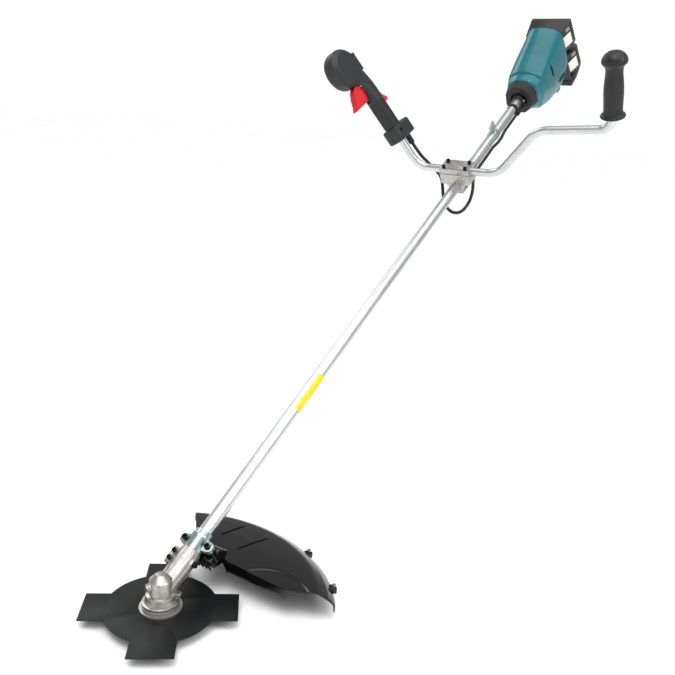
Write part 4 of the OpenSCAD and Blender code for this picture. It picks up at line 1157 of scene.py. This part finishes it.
@dataclass
class LeftGrip:
    """The plain rubber grip on the left end of the bar, turned about the bar's end."""

    steps: int = 96
    # Radius and height: flange, palm swell, waist and the mushroom cap that keeps the hand on
    profile: tuple[Flat, ...] = (
        (9.2, 0), (22, 0), (24.6, 1), (25, 2.6), (24.2, 4.4), (21, 6.6), (19.4, 9.5),
        (18.8, 16), (19.2, 32), (19.6, 50), (19.2, 64), (18, 78), (17, 88), (16.8, 95),
        (17.6, 101), (20, 106), (23.2, 109), (24.8, 111.4), (25.2, 113.6),
        (24.8, 116.5), (23, 121.5), (19.6, 126.4), (14.6, 130.4), (8, 132.6), (0, 133),
    )

    def build(self, machine: Machine) -> None:
        """Builds the grip and closes the end round the bar."""
        handle = machine.axes["handle"]
        low, high = handle.reach("left_grip")
        axes = handle.moved((low.x + high.x) / 2, (low.y + high.y) / 2, low.z)
        grip = as_object("left_grip_rubber", lathe(self.profile, self.steps))
        bm = bmesh.new()
        bm.from_mesh(grip.data)
        holes = [e for e in bm.edges if e.is_boundary]
        bmesh.ops.holes_fill(bm, edges=holes)
        bm.to_mesh(grip.data)
        bm.free()
        deliver(grip, axes, RUBBER, "handlebar", ("left_grip",), 50)


@dataclass
class PipeTrim:
    """The plain strip on the pipe: its ends along the pipe and the part of the round it covers."""

    strip_from: float = -756
    strip_to: float = -664
    strip_turn: float = 75

    def build(self, machine: Machine) -> None:
        """Builds the strip as a thin film over part of the pipe's round."""
        pipe = machine.axes["pipe"]
        _, high = pipe.reach("main_pipe")
        radius = high.z + 0.12
        rings = []
        for x in (self.strip_from, self.strip_to):
            turns = [math.radians(205 - self.strip_turn / 2 + self.strip_turn * k / 16) for k in range(17)]
            outer = [(x, radius * math.cos(a), -radius * math.sin(a)) for a in turns]
            inner = [(x, (radius - 0.1) * math.cos(a), -(radius - 0.1) * math.sin(a)) for a in reversed(turns)]
            rings.append(outer + inner)
        strip = as_object("plain_yellow_strip", loft(rings))
        deliver(strip, pipe, YELLOW, "frame")


@dataclass
class GearHead:
    """The gear case with its grease plug."""

    def build(self, machine: Machine) -> None:
        """Breaks the casting's edges and adds its grease plug."""
        machine.softened("gear_case", "gear_case_casting", CASTING, "frame", 1.0, 28)
        blade = machine.axes["blade"]
        plug = lathe([(0, 0), (7, 0), (7, 5), (5.8, 6), (5.8, 8.5), (2.6, 8.5), (2.6, 6), (0, 6)], 40)
        obj = as_object("grease_plug", plug)
        turn = Matrix.Rotation(math.radians(-90), 4, "X")
        obj.data.transform(Matrix.Rotation(math.radians(62), 4, "Z") @ Matrix.Translation((0, 15.5, 40)) @ turn)
        deliver(obj, blade, CASTING, "frame")


class Studio:
    """Pale floor, soft light and the camera."""

    place = Vector((-1.92797, -0.7744, -0.00287))
    right = Vector((0.5397, -0.8393, 0.0653))
    down = Vector((-0.1961, -0.2007, -0.9598))
    forward = Vector((0.8187, 0.5052, -0.2730))
    lens_mm = 41.61
    surround = 0.45

    def camera(self) -> None:
        """Makes the camera that looks along the pipe from the operator's right."""
        data = bpy.data.cameras.new("camera")
        data.sensor_width = 36
        data.lens = self.lens_mm
        data.clip_start, data.clip_end = 0.05, 60
        obj = bpy.data.objects.new("camera", data)
        turn = Matrix((self.right, -self.down, -self.forward)).transposed().to_4x4()
        obj.matrix_world = Matrix.Translation(self.place) @ turn
        bpy.context.scene.collection.objects.link(obj)
        bpy.context.scene.camera = obj

    def area(self, name: str, place: Point, target: Vector, size: float, watts: float) -> None:
        """Adds one soft square light that points at a target."""
        data = bpy.data.lights.new(name, "AREA")
        data.size = size
        data.energy = watts
        obj = bpy.data.objects.new(name, data)
        obj.location = place
        obj.rotation_mode = "QUATERNION"
        obj.rotation_quaternion = (target - Vector(place)).to_track_quat("-Z", "Y")
        bpy.context.scene.collection.objects.link(obj)

    def sky_panel(self) -> None:
        """Adds the overhead light, wide enough for soft shadows, that whitens the whole floor."""
        data = bpy.data.lights.new("overhead_light", "SUN")
        data.energy = 2.1
        data.angle = math.radians(70)
        obj = bpy.data.objects.new("overhead_light", data)
        obj.rotation_euler = (math.radians(12), math.radians(-14), 0)
        bpy.context.scene.collection.objects.link(obj)

    def build(self) -> None:
        """Makes the floor, the lights and the surround, which reads as white from the camera."""
        low, high = CAD_BOX
        middle = (Vector(low) + Vector(high)) / 2
        floor = as_object("studio_floor", block((-30, -30, low[2] - 0.05), (30, 30, low[2] - 0.002)))
        paper = Finish("studio_paper", "#fbfbfb", "#f7f7f7", 0.0, 0.9, 0.02, 900, 40, 0.0)
        floor.data.materials.append(paper.build())
        self.area("key_light", (-2.4, -0.6, 2.6), middle, 1.4, 36)
        self.area("side_light", (-0.6, -3.0, 1.4), middle, 1.2, 26)
        self.area("far_light", (0.2, 2.8, 2.2), middle, 1.6, 26)
        self.sky_panel()
        world = bpy.data.worlds.new("even_surround")
        world.use_nodes = True
        tree = world.node_tree
        tree.nodes.clear()
        seen = add_node(tree, "ShaderNodeLightPath").outputs["Is Camera Ray"]
        glow = add_node(tree, "ShaderNodeMapRange", {"To Min": self.surround, "To Max": 1.0}, {"Value": seen})
        paper = add_node(
            tree, "ShaderNodeBackground", {"Color": (1, 1, 1, 1)}, {"Strength": glow.outputs["Result"]}
        )
        add_node(tree, "ShaderNodeOutputWorld", links={"Surface": paper.outputs["Background"]})
        bpy.context.scene.world = world
        bpy.context.scene.view_settings.view_transform = "Standard"


def dress_construction(machine: Machine) -> None:
    """Breaks the edges of the remaining visible nodes and dresses the inner ones."""
    softened = (
        ("blade", "blade_disc", BLADE_COAT, "cutter", 0.35),
        ("guard_bracket", "guard_bracket_pressing", ZINC, "frame", 0.6),
        ("guard_clamp", "guard_clamp_pressing", ZINC, "frame", 0.6),
        ("harness_eye", "harness_eye_plate", ZINC, "frame", 0.5),
        ("harness_band", "harness_band_strap", ZINC, "frame", 0.4),
        ("handle_holder", "handle_holder_casting", CASTING, "frame", 2.0),
        ("handle_clamp", "handle_clamp_casting", CASTING, "frame", 2.0),
        ("battery_dock", "battery_dock_moulding", CHARCOAL, "frame", 1.2),
        ("rear_bumper", "rear_bumper_moulding", CHARCOAL, "frame", 4.0),
        ("control_panel", "control_panel_moulding", CHARCOAL, "handlebar", 1.2),
        ("trigger", "trigger_lever", RED, "trigger", 1.6),
        ("lock_lever", "lock_wedge", RED, "lock_lever", 1.2),
    )
    for node, name, finish, body, width in softened:
        machine.softened(node, name, finish, body, width)
    plain = {
        STEEL: ("receive_washer", "output_spindle", "driven_gear", "pinion_gear", "gear_bearings", "drive_shaft",
                "trigger_pin", "trigger_spring", "lock_pin", "motor_rotor", "shaft_coupling", "motor_bearings"),
        ZINC: ("clamp_washer", "blade_cup", "blade_nut", "guard_screws", "harness_bolt"),
        BLACK_OXIDE: ("gear_case_screws", "guard_bolts", "handle_bolts", "switch_screws", "motor_case_screws"),
        TUBE: ("main_pipe",),
        BAR: ("handle_bar",),
        INNER: ("shaft_bushes", "trigger_switch", "cooling_fan"),
        COPPER: ("motor_stator",),
        BRASS: ("dock_terminals",),
        JACKET: ("cable_gland", "cable_clips"),
        GREY_KEY: ("power_button", "reverse_button", "upper_latch_button", "lower_latch_button"),
    }
    machine.dress({node: finish for finish, nodes in plain.items() for node in nodes})


def main() -> None:
    """Builds the scene: camera and cable first, then each sub-assembly."""
    logging.basicConfig(level=logging.INFO, format="%(name)s: %(message)s")
    studio = Studio()
    studio.camera()
    machine = Machine()
    ControlCable().build(machine.axes["pipe"])
    MotorUnit().build(machine)
    stack = machine.axes["stack"]
    pitch = (Vector(stack.reach("battery_lower")[0]) - Vector(stack.reach("battery_upper")[0])).z
    BatteryPack().build(stack, "upper")
    BatteryPack().build(stack.moved(0, 0, pitch), "lower")
    SwitchGrip().build(machine)
    LeftGrip().build(machine)
    Guard().build(machine)
    GearHead().build(machine)
    PipeTrim().build(machine)
    dress_construction(machine)
    studio.build()


if __name__ == "__main__":
    main()
